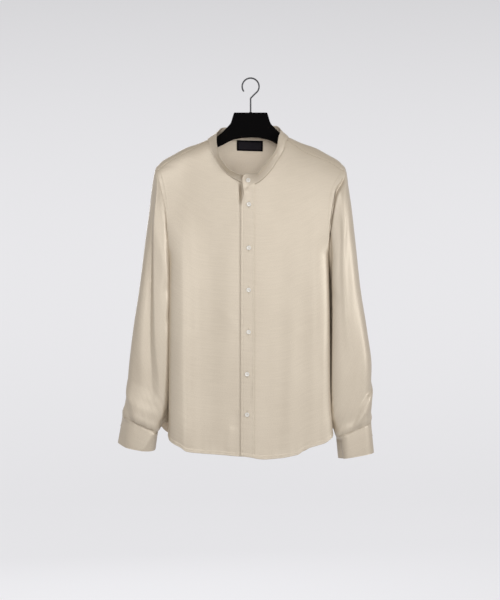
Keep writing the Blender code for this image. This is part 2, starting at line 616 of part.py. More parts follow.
def border_places(grid):
    """Row and column of each point on a grid's border."""
    rows, columns = grid.shape[:2]
    return [(row, column) for row in range(rows) for column in range(columns)
            if row in (0, rows - 1) or column in (0, columns - 1)]


def wall_normals(grids, centres):
    """Each piece's wall directions. Pieces that share a seam point share its direction too, and
    it is lengthened there so that both walls keep their thickness, like a mitre."""
    sums = {name: corner_sums(grid, centres[name]) for name, grid in grids.items()}
    shared = {}
    for name, grid in grids.items():
        for place in border_places(grid):
            entry = shared.setdefault(tuple(np.round(grid[place] * 1e5)), [np.zeros(3), 0])
            entry[0] += sums[name][0][place]
            entry[1] += sums[name][1][place]
    walls = {}
    for name, grid in grids.items():
        total, count = sums[name]
        for place in border_places(grid):
            total[place], count[place] = shared[tuple(np.round(grid[place] * 1e5))]
        length = np.linalg.norm(total, axis=2)
        mitre = np.minimum(count / length, MOST_MITRE)
        walls[name] = total / length[..., None] * mitre[..., None]
    return walls


def drawn_back(grid, ends_only, pull=SEAM_PULL):
    """The grid with its border drawn back from the seams, so that walls stand a gap apart."""
    grid = grid.copy()
    sides = [(0, 1), (-1, -2)]
    for edge, inner in sides:
        step = grid[inner] - grid[edge]
        grid[edge] += step / np.linalg.norm(step, axis=1)[:, None] * pull
    if not ends_only:
        for edge, inner in sides:
            step = grid[:, inner] - grid[:, edge]
            grid[:, edge] += step / np.linalg.norm(step, axis=1)[:, None] * pull
    return grid


def material(name, colour, roughness):
    """A plain Principled material."""
    made = bpy.data.materials.new(name)
    made.use_nodes = True
    shader = made.node_tree.nodes["Principled BSDF"]
    shader.inputs["Base Color"].default_value = (*colour, 1.0)
    shader.inputs["Roughness"].default_value = roughness
    made.diffuse_color = (*colour, 1.0)
    return made


def add_object(name, mesh, finish, collection):
    """An object for one sub-part, in the collection."""
    made = bpy.data.objects.new(name, mesh)
    mesh.materials.append(finish)
    collection.objects.link(made)
    return made


def slab_object(name, outer, inner, finish, collection, tube=False):
    """A wall between two grids of points. Its two faces share the same triangles, so a twisted
    wall never crosses itself. A tube's first and last columns are joined."""
    rows, columns = outer.shape[:2]
    bm = bmesh.new()
    bmesh.ops.create_grid(bm, x_segments=columns - 1, y_segments=rows - 1, size=0.5)
    bmesh.ops.triangulate(bm, faces=bm.faces[:], quad_method="FIXED")
    copied = bmesh.ops.extrude_face_region(bm, geom=bm.faces[:], use_keep_orig=True)
    lifted = [item for item in copied["geom"] if isinstance(item, bmesh.types.BMVert)]
    bmesh.ops.translate(bm, verts=lifted, vec=(0, 0, 1))
    if tube:
        ends = [face for face in bm.faces if abs(face.calc_center_median().x) > 0.4999]
        bmesh.ops.delete(bm, geom=ends, context="FACES_ONLY")
    for vert in bm.verts:
        row = round((vert.co.y + 0.5) * (rows - 1))
        column = round((vert.co.x + 0.5) * (columns - 1))
        vert.co = (outer if vert.co.z > 0.5 else inner)[row, column]
    if tube:
        bmesh.ops.remove_doubles(bm, verts=bm.verts, dist=1e-6)
    bmesh.ops.recalc_face_normals(bm, faces=bm.faces)
    if bm.calc_volume(signed=True) < 0:
        bmesh.ops.reverse_faces(bm, faces=bm.faces)
    mesh = bpy.data.meshes.new(name)
    bm.to_mesh(mesh)
    bm.free()
    mesh.shade_smooth()
    mesh.set_sharp_from_angle(angle=math.radians(40))
    return add_object(name, mesh, finish, collection)


def on_grid(grid, row, column):
    """A point between a grid's rows and columns."""
    rows, columns = grid.shape[:2]
    low_row = int(min(max(math.floor(row), 0), rows - 2))
    low_column = int(min(max(math.floor(column), 0), columns - 2))
    down, over = row - low_row, column - low_column
    first = grid[low_row, low_column] * (1 - over) + grid[low_row, low_column + 1] * over
    second = grid[low_row + 1, low_column] * (1 - over) + grid[low_row + 1, low_column + 1] * over
    return first * (1 - down) + second * down


def label_grids(yoke, walls):
    """The label's two faces, from points of the yoke moved in from its inner side."""
    rows, columns = 4, 7
    faces = np.zeros((2, rows, columns, 3))
    for row in range(rows):
        depth = (LABEL_TOP + (LABEL_LOW - LABEL_TOP) * row / (rows - 1)) * (len(yoke) - 1)
        line = np.array([on_grid(yoke, depth, column) for column in range(yoke.shape[1])])
        for column in range(columns):
            x = LABEL_MIDDLE + LABEL_HALF_WIDTH * (2 * column / (columns - 1) - 1)
            place = np.interp(x, line[:, 0], np.arange(yoke.shape[1]))
            point, wall = on_grid(yoke, depth, place), on_grid(walls, depth, place)
            near = WALL / 2 + SEAM_GAP
            faces[0, row, column] = point - wall * near
            faces[1, row, column] = point - wall * (near + LABEL_WALL)
    return faces


def button_object(name, seat, outward, finish, collection):
    """A round button with a softened rim, standing on its seat along the outward direction."""
    bm = bmesh.new()
    bmesh.ops.create_cone(bm, cap_ends=True, segments=BUTTON_SIDES, radius1=BUTTON_RADIUS,
                          radius2=BUTTON_RADIUS, depth=BUTTON_HEIGHT)
    rim = [edge for edge in bm.edges if abs(edge.verts[0].co.z - edge.verts[1].co.z) < 1e-6]
    bmesh.ops.bevel(bm, geom=rim, offset=BUTTON_RIM, segments=1, profile=0.5, affect="EDGES",
                    material=-1)
    mesh = bpy.data.meshes.new(name)
    bm.to_mesh(mesh)
    bm.free()
    made = add_object(name, mesh, finish, collection)
    direction = Vector(outward).normalized()
    made.location = Vector(seat) + direction * (SEAM_GAP + BUTTON_HEIGHT / 2)
    made.rotation_euler = direction.to_track_quat("Z", "Y").to_euler()
    return made


def nearest_on(grid, walls, x, z):
    """The point of a grid nearest a place seen from the front, and its wall direction."""
    misses = np.hypot(grid[..., 0] - x, grid[..., 2] - z)
    row, column = np.unravel_index(np.argmin(misses), misses.shape)
    best = None
    for rows in np.linspace(row - 1, row + 1, 21):
        for columns in np.linspace(column - 1, column + 1, 21):
            point = on_grid(grid, rows, columns)
            miss = math.hypot(point[0] - x, point[2] - z)
            if best is None or miss < best[0]:
                best = (miss, point, on_grid(walls, rows, columns))
    return best[1], best[2]


def hanger_body(finish, collection):
    """The flat-topped hanger: a plate that thickens towards the ends of its arms."""
    half = np.array([HANGER.at, HANGER.columns["top"], HANGER.columns["bottom"]])
    outline = np.concatenate([half[:, :0:-1] * [[-1], [1], [1]], half], axis=1)
    x, top, bottom = outline
    part = np.linspace(0, 1, 3)[:, None]
    z = top + (bottom - top) * part
    thick = HANGER_HALF + HANGER_FLARE * smooth_step(np.abs(x) / HANGER.at[-1])
    plate = np.stack([x + 0 * z, 0 * z, z], axis=-1)
    across = np.stack([0 * z, thick + 0 * z, 0 * z], axis=-1)
    made = slab_object("hanger_body", plate - across, plate + across, finish, collection)
    rounding = made.modifiers.new("rounding", "BEVEL")
    rounding.width = HANGER_ROUND
    rounding.segments = 2
    rounding.limit_method = "ANGLE"
    rounding.angle_limit = math.radians(50)


def hanger_hook(finish, collection):
    """The wire hook: a straight stem, a slanted neck and a round bend over the seat."""
    middle = HOOK_WIRE - HOOK_RADIUS
    points = [(0.0, float(HANGER.columns["top"][0]) + SEAM_GAP), (0.0, -0.0600),
              (0.0, HOOK_STEM_TOP), (0.0016, -0.0430), (0.0080, -0.0363)]
    for angle in range(-32, 213, 12):
        turn = math.radians(angle)
        points.append((HOOK_RADIUS * math.cos(turn), middle + HOOK_RADIUS * math.sin(turn)))
    curve = bpy.data.curves.new("hanger_hook", "CURVE")
    curve.dimensions = "3D"
    curve.bevel_depth = HOOK_WIRE
    curve.bevel_resolution = 2
    curve.use_fill_caps = True
    spline = curve.splines.new("POLY")
    spline.points.add(len(points) - 1)
    for place, (x, z) in zip(spline.points, points):
        place.co = (x, 0.0, z, 1.0)
    add_object("hanger_hook", curve, finish, collection)


def build_shirt():
    """All the sewn pieces, the buttons and the hanger."""
    collection = bpy.data.collections.new("band_collar_shirt_on_hanger")
    bpy.context.scene.collection.children.link(collection)
    satin = material("satin", (0.640, 0.565, 0.445), 0.42)
    shell = material("button_shell", (0.870, 0.860, 0.820), 0.25)
    dark_weave = material("label_weave", (0.018, 0.016, 0.024), 0.70)
    black = material("hanger_black", (0.006, 0.006, 0.007), 0.45)
    wire = material("hook_wire", (0.100, 0.100, 0.105), 0.35)

    fronts = {side: front_grid(side) for side in (RIGHT, LEFT)}
    back = back_grid()
    yoke = yoke_grid(fronts, back)
    sleeves = {side: sleeve_grid(side) for side in (RIGHT, LEFT)}
    cuffs = {side: cuff_grid(side, sleeves[side]) for side in (RIGHT, LEFT)}
    body_centre = np.array([0.0, 0.0, -0.35])
    grids = {"front_right": fronts[RIGHT], "front_left": fronts[LEFT], "back_panel": back,
             "yoke": yoke, "collar_band": band_grid(fronts, yoke)}
    centres = {name: body_centre for name in grids}
    for side, word in ((RIGHT, "right"), (LEFT, "left")):
        for name, grid in ((f"sleeve_{word}", sleeves[side]), (f"cuff_{word}", cuffs[side])):
            grids[name] = grid
            centres[name] = grid[:, :RING].mean(axis=1)[1:, None]
    walls = wall_normals(grids, centres)
    for name, grid in grids.items():
        tube = name.startswith("sleeve")
        middle = drawn_back(grid, tube, SLEEVE_PULL if tube else SEAM_PULL)
        half = walls[name] * WALL / 2
        slab_object(name, middle + half, middle - half, satin, collection, tube)

    # The placket lies on the left front: that panel's own first columns, moved out
    strip = drawn_back(fronts[LEFT][:, :PLACKET_COLUMNS + 1], False)
    strip_walls = walls["front_left"][:, :PLACKET_COLUMNS + 1]
    strip[-1] += (strip[-2] - strip[-1]) * 0.12
    lift = WALL / 2 + SEAM_GAP
    slab_object("placket", strip + strip_walls * (lift + PLACKET_WALL), strip + strip_walls * lift,
                satin, collection)

    label = label_grids(yoke, walls["yoke"])
    slab_object("neck_label", label[0], label[1], dark_weave, collection)

    for number, (x, z) in enumerate(BUTTONS, start=1):
        name = "collar_band" if number == 1 else "front_left"
        point, outward = nearest_on(grids[name][:, :NECK_COLUMNS], walls[name], x, z)
        seat = WALL / 2 + (COLLAR_BUTTON_LIFT if number == 1 else SEAM_GAP + PLACKET_WALL)
        button_object(f"button_{number}", point + outward * seat, outward, shell, collection)
    for word in ("right", "left"):
        cuff, wall = grids[f"cuff_{word}"], walls[f"cuff_{word}"]
        place = ((CUFF_ROWS - 1) * CUFF_BUTTON_SHARE, RING + CUFF_OVERLAP / 2)
        point, outward = on_grid(cuff, *place), on_grid(wall, *place)
        button_object(f"cuff_button_{word}", point + outward * WALL / 2, outward, shell,
                      collection)

    hanger_body(black, collection)
    hanger_hook(wire, collection)


for old in list(bpy.data.objects):
    bpy.data.objects.remove(old, do_unlink=True)
build_shirt()
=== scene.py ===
# %% [markdown]
# # A band-collar shirt on a hanger
# The shirt is thin champagne satin: a back, a yoke over both shoulders, two fronts with a button
# strip, a stand-up band for a collar, and two sleeves in cuffs. It hangs on a black flat-topped
# hanger by a wire hook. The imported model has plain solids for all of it. Here each sewn piece
# becomes a fine sheet of cloth on the same form, with its seams, folds and stitches.

# %% Setup
import math

import bmesh
import bpy
import numpy as np
from mathutils import Matrix, Vector


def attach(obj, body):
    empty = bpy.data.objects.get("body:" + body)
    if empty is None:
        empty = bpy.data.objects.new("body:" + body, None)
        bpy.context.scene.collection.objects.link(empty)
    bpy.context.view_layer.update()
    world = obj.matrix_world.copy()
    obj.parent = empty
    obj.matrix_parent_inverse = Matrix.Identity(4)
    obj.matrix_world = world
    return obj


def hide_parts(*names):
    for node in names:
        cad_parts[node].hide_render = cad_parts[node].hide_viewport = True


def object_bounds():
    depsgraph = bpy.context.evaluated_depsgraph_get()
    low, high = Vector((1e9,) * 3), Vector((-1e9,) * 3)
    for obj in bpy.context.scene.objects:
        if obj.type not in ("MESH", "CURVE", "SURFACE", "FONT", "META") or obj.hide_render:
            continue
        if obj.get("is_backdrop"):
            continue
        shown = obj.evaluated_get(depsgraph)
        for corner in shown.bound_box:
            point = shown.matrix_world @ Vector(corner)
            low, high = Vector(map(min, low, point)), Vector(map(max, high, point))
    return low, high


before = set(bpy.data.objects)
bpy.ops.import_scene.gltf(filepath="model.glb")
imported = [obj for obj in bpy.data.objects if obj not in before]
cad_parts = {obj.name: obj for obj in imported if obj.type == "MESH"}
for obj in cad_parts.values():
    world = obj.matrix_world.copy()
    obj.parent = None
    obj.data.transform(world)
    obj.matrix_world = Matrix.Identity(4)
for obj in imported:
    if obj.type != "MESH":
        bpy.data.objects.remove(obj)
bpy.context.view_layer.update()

# %% [markdown]
# ## Sizes that change along a piece
# A pattern cutter writes sizes at a few heights and joins them with a smooth curve. A Table does
# the same: rows of sizes, read at any place between. A spline with levelled turns is used, because
# a plain cubic would swing past its rows and put bumps in the cloth.

# %% Tables
# The wearer's sides along X, and the faces along Y
RIGHT, LEFT = -1, 1
SIDES = {RIGHT: "right", LEFT: "left"}
FRONT, BACK = -1, 1


class Table:
    """Rows of sizes under named columns, read smoothly at any value of the first column."""

    def __init__(self, columns, *rows):
        values = np.array(rows, dtype=float)
        self.at = values[:, 0]
        self.columns = {name: values[:, place] for place, name in enumerate(columns.split())}

    def slopes(self, values):
        """A slope for each row from its two neighbours: level where the column turns back, so
        that the curve never swings past its rows."""
        rises = np.diff(values) / np.diff(self.at)
        before, after = rises[:-1], rises[1:]
        total = np.where(before * after > 0, before + after, 1.0)
        inner = np.where(before * after > 0, 2 * before * after / total, 0.0)
        return np.concatenate([rises[:1], inner, rises[-1:]])

    def read(self, column, at):
        """A cubic between two rows, with a slope at each row."""
        values = self.columns[column]
        slopes = self.slopes(values)
        at = np.clip(at, self.at[0], self.at[-1])
        row = np.clip(np.searchsorted(self.at, at) - 1, 0, len(self.at) - 2)
        step = self.at[row + 1] - self.at[row]
        part = (at - self.at[row]) / step
        rise = part * part * (3 - 2 * part)
        leave = part * (1 - part) ** 2 * step * slopes[row]
        arrive = part * part * (1 - part) * step * slopes[row + 1]
        return values[row] * (1 - rise) + values[row + 1] * rise + leave - arrive


def smooth_step(value):
    """0 below 0, 1 above 1, and an even S between."""
    value = np.clip(value, 0.0, 1.0)
    return value * value * (3 - 2 * value)


def bump(value, middle, width):
    """A soft bump of height 1 at the middle."""
    return np.exp(-(((value - middle) / width) ** 2))


def reach(grid, axis):
    """Length along each row or column of a grid, from its first border."""
    steps = np.linalg.norm(np.diff(grid, axis=axis), axis=2)
    start = np.zeros_like(np.take(steps, [0], axis=axis))
    return np.concatenate([start, np.cumsum(steps, axis=axis)], axis=axis)


# %% [markdown]
# ## Shader maths
# Node trees grow long when each Math node is wired by hand. One small class wraps a socket, so
# that ordinary Python expressions add the Math nodes, and one method adds any other node.

# %% Shader helpers
class Wire:
    """A socket of a shader tree that can be used in ordinary arithmetic."""

    def __init__(self, finish, socket):
        self.finish, self.socket = finish, socket

    def maths(self, operation, first, second):
        """A Math node fed by two values or wires."""
        made = self.finish.tree.nodes.new("ShaderNodeMath")
        made.operation = operation
        for place, value in enumerate((first, second)):
            self.finish.join(value, made.inputs[place])
        return Wire(self.finish, made.outputs[0])

    def __add__(self, other):
        return self.maths("ADD", self, other)

    def __sub__(self, other):
        return self.maths("SUBTRACT", self, other)

    def __rsub__(self, other):
        return self.maths("SUBTRACT", other, self)

    def __mul__(self, other):
        return self.maths("MULTIPLY", self, other)

    __radd__, __rmul__ = __add__, __mul__


class Finish:
    """A material that starts as one Principled shader with constant sockets."""

    def __init__(self, name, **constants):
        self.material = bpy.data.materials.new(name)
        self.material.use_nodes = True
        self.tree = self.material.node_tree
        self.shader = self.tree.nodes["Principled BSDF"]
        for socket, value in constants.items():
            self.shader.inputs[socket.replace("_", " ")].default_value = value

    def join(self, value, socket):
        """Links a wire to a socket, or sets the socket to a plain value."""
        if isinstance(value, Wire):
            self.tree.links.new(value.socket, socket)
        else:
            socket.default_value = value

    def node(self, kind, settings=None, inputs=None, output=0):
        """Adds a node: its settings first, then the values or wires of its sockets."""
        made = self.tree.nodes.new(kind)
        for name, value in (settings or {}).items():
            setattr(made, name, value)
        for name, value in (inputs or {}).items():
            self.join(value, made.inputs[name])
        return Wire(self, made.outputs[output])

    def place(self, source, scale):
        """Coordinates of the piece, scaled: its own UV map, or Object coordinates."""
        if source == "UV":
            start = self.node("ShaderNodeUVMap", {"uv_map": "cloth"})
        else:
            start = self.node("ShaderNodeTexCoord", output=3)
        return self.node("ShaderNodeMapping", {}, {"Vector": start, "Scale": scale})

    def noise(self, source, scale, detail):
        """A noise with scale waves to a metre along each axis."""
        return self.node("ShaderNodeTexNoise", {}, {
            "Vector": self.place(source, scale), "Scale": 1.0, "Detail": detail})

    def mix(self, factor, first, second):
        """A colour between two colours."""
        made = self.tree.nodes.new("ShaderNodeMix")
        made.data_type = "RGBA"
        self.join(factor, made.inputs[0])
        self.join(first, made.inputs[6])
        self.join(second, made.inputs[7])
        return Wire(self, made.outputs[2])

    def feed(self, socket, value):
        """Feeds one socket of the shader."""
        self.join(value, self.shader.inputs[socket])

    def relief(self, height, strength, distance):
        """A Bump node that feeds the shader's Normal."""
        self.feed("Normal", self.node("ShaderNodeBump", {}, {
            "Height": height, "Strength": strength, "Distance": distance}))


# %% [markdown]
# ## The satin
# Satin is woven so that long threads float on its face. That gives a smooth cloth with a broad
# soft shine and, seen close, fine lines along the threads. The threads are far too fine for
# geometry, so they are a faint Bump, stretched along the cloth's own UV map. The wrong side of
# satin is duller, so the inside of the shirt has its own finish, and its colour is painted paler:
# painted light that stands in for the light reaching the inside of the shirt.

# %% Satin finishes
def satin_finish(name, light, dark, roughness, sheen):
    """One side of the satin, between a light and a dark shade of its colour."""
    made = Finish(name, Sheen_Weight=sheen, Sheen_Roughness=0.45, Sheen_Tint=(1.0, 0.95, 0.86, 1.0),
                  Specular_IOR_Level=0.6, Metallic=0.22)
    threads = made.noise("UV", (2600, 150, 1), 1.0)  # fine lines down the cloth
    slubs = made.noise("UV", (16, 260, 1), 2.0)  # long thick threads across it
    cloud = made.noise("OBJECT", (9, 9, 7), 3.0)  # a slow change over the whole shirt
    grain = made.noise("UV", (420, 620, 1), 2.0)  # the weave's unevenness
    blend = 0.5 + 1.1 * (cloud - 0.5) + 0.7 * (slubs - 0.5) + 1.4 * (grain - 0.5)
    made.feed("Base Color", made.mix(blend, (*dark, 1), (*light, 1)))
    made.feed("Roughness", roughness + 0.10 * (cloud - 0.5) + 0.06 * (slubs - 0.5))
    made.relief(0.4 * threads + 0.5 * slubs + 0.6 * grain, 0.12, 0.0005)
    return made.material


satin = satin_finish("satin_face", (0.655, 0.583, 0.477), (0.545, 0.476, 0.380), 0.42, 0.05)
# The wrong side is really duller, and its paler colour is painted light for the inside of the shirt
satin_back_painted_lighter = satin_finish("satin_wrong_side_painted_lighter", (0.870, 0.775, 0.640), (0.790, 0.690, 0.560),
                          0.60, 0.03)
print("satin shades made")


# %% Other finishes
def plain_finish(name, first, second, roughness, scale, grain, source="OBJECT", **constants):
    """A finish whose colour and relief vary a little with one noise."""
    made = Finish(name, **constants)
    cloud = made.noise(source, scale, 3.0)
    made.feed("Base Color", made.mix(cloud, (*first, 1), (*second, 1)))
    made.feed("Roughness", roughness + 0.12 * (cloud - 0.5))
    made.relief(cloud, grain, 0.0004)
    return made.material


thread = plain_finish("sewing_thread", (0.56, 0.49, 0.37), (0.68, 0.61, 0.48), 0.60,
                      (900,) * 3, 0.2)
pearl = plain_finish("pearl_button", (0.86, 0.85, 0.82), (0.93, 0.92, 0.89), 0.22,
                     (260, 260, 500), 0.05, Coat_Weight=0.5, Coat_Roughness=0.12)
label_weave = plain_finish("label_weave", (0.010, 0.008, 0.012), (0.018, 0.015, 0.021), 0.80,
                           (700, 2400, 1), 0.35, "UV", Specular_IOR_Level=0.2)
label_edge = plain_finish("label_border", (0.002, 0.002, 0.003), (0.005, 0.004, 0.006), 0.80,
                          (2400, 700, 1), 0.35, "UV", Specular_IOR_Level=0.05)
hanger_black = plain_finish("hanger_black", (0.0010, 0.0008, 0.0009), (0.0018, 0.0015, 0.0017), 0.60,
                            (900,) * 3, 0.12, Specular_IOR_Level=0.03)
hook_wire = plain_finish("hook_wire", (0.060, 0.060, 0.064), (0.080, 0.080, 0.084), 0.40,
                         (60, 60, 60), 0.02, Metallic=0.8)
print("other finishes made")

# %% [markdown]
# ## How the torso hangs
# Cloth on a hanger drops from a ridge along the shoulders, curves out to a nearly flat front and
# back, and turns in at the side seams. The form is a squarish section whose width and depth change
# with height. Long soft folds run down it, each with its own place, width and rise.

# %% Torso sizes
SHOULDER_POINT = -0.2045
UNDERARM = -0.402
SIDE_HEM = -0.792
HANG_DEPTH = {FRONT: 0.055, BACK: 0.050}  # how deep each face hangs from the middle plane
HANG_REACH = 0.057  # the drop over which it gets most of the way there
CORNER = 8.0  # squareness of the section, where 2 is an ellipse
SIDE_TUCK_WIDTH = 0.020
ARMHOLE_EDGE = 16  # the power that keeps the armhole's round foot to the panel's very edge
ARMHOLE_CLOSE = 0.55  # share of the armhole's height over which the rest closes towards the foot
FLARE_DEPTH = 0.045

# Height of the shoulder line by the distance from the middle
RIDGE = Table(
    "out height", (0.000, -0.1040), (0.050, -0.1185), (0.090, -0.1360), (0.115, -0.1475),
    (0.149, -0.1595), (0.175, -0.1735), (0.202, -0.1890), (0.217, -0.2045))

# Half width by height: the side seam below the underarm, the armhole above it
HALF_WIDTH = {
    RIGHT: Table(
        "height out", (-0.870, 0.1880), (-0.700, 0.1875), (-0.545, 0.1870), (-0.430, 0.1870),
        (-0.402, 0.1885), (-0.337, 0.1922), (-0.270, 0.2006), (-0.220, 0.2130),
        (SHOULDER_POINT, 0.2170)),
    LEFT: Table(
        "height out", (-0.870, 0.1895), (-0.800, 0.1880), (-0.750, 0.1845), (-0.700, 0.1832),
        (-0.545, 0.1825), (-0.450, 0.1803), (-0.402, 0.1785), (-0.338, 0.1815), (-0.303, 0.1850),
        (-0.261, 0.1919), (-0.224, 0.2115), (SHOULDER_POINT, 0.2165)),
}

# How far the side seam is drawn in between the two faces, by height
SIDE_TUCK = Table(
    "height depth", (-0.870, 0.018), (-0.792, 0.020), (-0.650, 0.027), (-0.520, 0.024),
    (-0.440, 0.010), (UNDERARM, 0.0))

# How far the back spreads at its side, by height
TAIL_FLARE = {
    RIGHT: Table(
        "height out", (-0.870, 0.027), (-0.800, 0.026), (-0.760, 0.018), (-0.720, 0.006),
        (-0.670, 0.0)),
    LEFT: Table("height out", (-0.870, 0.004), (-0.800, 0.003), (-0.740, 0.001), (-0.690, 0.0)),
}

# Main folds: X and Z of each one's start and end, its width, and its rise, below 0 for a valley
FOLDS = {
    FRONT: (
        (-0.170, -0.250, -0.164, -0.900, 0.0330, 0.0080),
        (-0.088, -0.300, -0.092, -0.880, 0.0240, -0.0012),
        (-0.070, -0.520, -0.022, -0.590, 0.0120, 0.0004),
        (0.070, -0.330, 0.060, -0.880, 0.0260, -0.0009),
        (0.148, -0.260, 0.146, -0.900, 0.0150, 0.0013),
        (0.112, -0.420, 0.108, -0.880, 0.0190, -0.0006),
    ),
    BACK: (
        (-0.120, -0.250, -0.135, -0.920, 0.0190, 0.0070),
        (-0.072, -0.235, -0.078, -0.920, 0.0170, -0.0065),
        (-0.004, -0.190, 0.006, -0.920, 0.0210, -0.0080),
        (0.048, -0.260, 0.052, -0.920, 0.0180, 0.0060),
        (0.094, -0.235, 0.104, -0.920, 0.0170, -0.0065),
        (0.140, -0.260, 0.148, -0.920, 0.0170, 0.0050),
    ),
}

# %% Small folds
# Folds that only the finished cloth has, most of them faint, uneven in length, slant and depth
SMALL_FOLDS = {
    FRONT: (
        (-0.153, -0.300, -0.147, -0.900, 0.0130, 0.0032),
        (-0.030, -0.760, -0.036, -0.800, 0.0090, -0.0007),
        (-0.045, -0.790, -0.052, -0.850, 0.0080, 0.0007),
        (-0.160, -0.560, -0.165, -0.800, 0.0090, 0.0008),
        (-0.040, -0.300, -0.050, -0.620, 0.0180, 0.0006),
        (-0.120, -0.420, -0.116, -0.860, 0.0120, -0.0006),
        (0.012, -0.680, 0.006, -0.735, 0.0060, 0.0005),
        (0.100, -0.500, 0.086, -0.860, 0.0150, 0.0007),
        (0.040, -0.560, 0.032, -0.880, 0.0140, -0.0007),
        (0.165, -0.560, 0.160, -0.830, 0.0080, 0.0010),
    ),
    BACK: (
        (-0.160, -0.400, -0.110, -0.500, 0.0120, 0.0018),
        (-0.098, -0.300, -0.104, -0.620, 0.0110, -0.0020),
        (-0.040, -0.240, -0.034, -0.560, 0.0130, 0.0022),
        (-0.046, -0.560, -0.030, -0.880, 0.0120, 0.0020),
        (0.020, -0.300, 0.028, -0.700, 0.0100, -0.0018),
        (0.072, -0.380, 0.078, -0.900, 0.0110, 0.0016),
        (0.120, -0.300, 0.128, -0.640, 0.0110, -0.0020),
        (0.165, -0.400, 0.120, -0.490, 0.0130, 0.0018),
        (0.165, -0.560, 0.160, -0.850, 0.0090, 0.0015),
    ),
}


# %% Torso form
def half_width(side, z):
    """Distance of the side seam, or of the armhole above it, from the middle."""
    return HALF_WIDTH[side].read("out", z)


def hang_depth(face, drop):
    """Distance of the cloth from the middle plane, at a drop below the shoulder line."""
    drop = np.maximum(drop, 0.0)
    return HANG_DEPTH[face] * (1 - np.exp(-np.sqrt(drop / HANG_REACH)))


def hang_drop(face, depth):
    """The drop at which the cloth hangs at a given depth, the inverse of hang_depth."""
    return HANG_REACH * np.log(1 - np.abs(depth) / HANG_DEPTH[face]) ** 2


def fold_relief(face, x, z):
    """Sum of the soft folds at a place on one face."""
    relief = np.zeros(np.broadcast(x, z).shape)
    for x_top, z_top, x_low, z_low, width, rise in FOLDS[face] + SMALL_FOLDS[face]:
        along = (z_top - z) / (z_top - z_low)
        middle = x_top + (x_low - x_top) * along
        ends = smooth_step(along * 4) * smooth_step((1.1 - along) * 4)
        relief = relief + rise * ends * bump(x, middle, width)
    return relief


def torso_point(side, face, turn, z):
    """Points of the hanging body: turn is 0 at the middle and a quarter circle at the edge."""
    edge = half_width(side, z)
    across = np.sign(turn) * np.abs(np.sin(turn)) ** (2 / CORNER)
    inset = np.cos(turn) ** (2 / CORNER)
    out = edge * across
    depth = hang_depth(face, RIDGE.read("height", np.abs(out)) - z)
    climb = np.clip((SHOULDER_POINT - z) / (SHOULDER_POINT - UNDERARM), 0.0, 1.0)
    full_depth = hang_depth(face, RIDGE.read("height", edge) - z)
    near = np.abs(across) ** ARMHOLE_EDGE
    close = near * np.sqrt(1 - climb ** 4) + (1 - near) * smooth_step((1 - climb) / ARMHOLE_CLOSE)
    edge_depth = full_depth * close
    depth = edge_depth + (depth - edge_depth + fold_relief(face, side * out, z)) * inset
    out = out - SIDE_TUCK.read("depth", z) * bump(depth, 0.0, SIDE_TUCK_WIDTH)
    if face == BACK:
        flare = TAIL_FLARE[side].read("out", z) * np.abs(across) ** 4
        out = out + flare * smooth_step(depth / FLARE_DEPTH)
    return np.stack([side * out, face * depth, z + 0 * out], axis=-1)


# %% [markdown]
# ## The panels
# A front or back panel is a grid of threads. Its columns follow the panel's width and its rows run
# from the shirt-tail hem up to the yoke's seam, the neckline and the armhole. The grids are worked
# out finely, because satin shows every flat facet as a broken highlight.

# %% Panel sizes
# FINE multiplies the rows and columns of every grid. RING is the number of points round an
# armhole, and the yoke's front and back seam each meet it at one of them.
FINE = 6
RING = 28 * FINE
FRONT_SEAM_AT, BACK_SEAM_AT = 2 * FINE, 4 * FINE
LOW_ROWS = 13 * FINE
PLACKET_COLUMNS, NECK_COLUMNS = 3 * FINE, 6 * FINE
SHOULDER_COLUMNS, BACK_NECK_COLUMNS = 7 * FINE, 10 * FINE
BACK_NECK_SHARE = 0.50
NECK_BENT, NECK_EVEN = 0.55, 0.45  # shares of bent and of even spacing along the neckline
PLACKET_EDGE, PLACKET_INNER = -0.0220, 0.0100  # the strip's free edge and its inner edge
OVERLAP_LIFT, OVERLAP_FADE = 0.0013, 0.070
PACE_HEIGHT = -0.62  # the row on which the columns are spaced by length
# How far below the underarm, and over what height, that spacing gives way to one by share, and
# the share of the width, and its fade, within which the columns hang straight down
PACE_BELOW, PACE_FADE = 0.03, 0.10
STRAIGHT_SHARE, STRAIGHT_FADE = 0.08, 0.40

# The free edge gapes below the collar's tab: at what height and over what length, and how far it
# draws back and lifts. Across the strip the gape fades over a width of its own.
GAPE_HEIGHT, GAPE_LENGTH, GAPE_SHIFT, GAPE_LIFT = -0.265, 0.018, 0.0062, 0.0036
STRIP_WIDTH, GAPE_FADE = 0.032, 0.022
# Depth, middle and width of the groove under that edge, all the way down and at the gape
UNDER_GROOVE, GAPE_GROOVE = (0.0009, 0.0, 0.0030), (0.0090, 0.0030, 0.0055)

# Neckline of each front by the distance from the middle, and the yoke seam that carries it on
FRONT_TOP = {
    RIGHT: Table(
        "out height", (-0.0100, -0.2535), (0.0082, -0.2466), (0.0239, -0.2384), (0.0427, -0.2282),
        (0.0631, -0.2105), (0.0821, -0.1831), (0.0925, -0.1620), (0.0965, -0.1455),
        (0.1295, -0.1615), (0.1608, -0.1775), (0.1890, -0.1935), (0.2150, -0.2144)),
    LEFT: Table(
        "out height", (-0.0220, -0.2610), (-0.0121, -0.2553), (0.0031, -0.2467), (0.0168, -0.2400),
        (0.0304, -0.2287), (0.0487, -0.2085), (0.0608, -0.1898), (0.0747, -0.1677),
        (0.0835, -0.1425), (0.0986, -0.1530), (0.1150, -0.1645), (0.1336, -0.1745),
        (0.1686, -0.1880), (0.1949, -0.2015), (0.2135, -0.2144)),
}
NECK_CORNER = {RIGHT: 0.0965, LEFT: 0.0835}

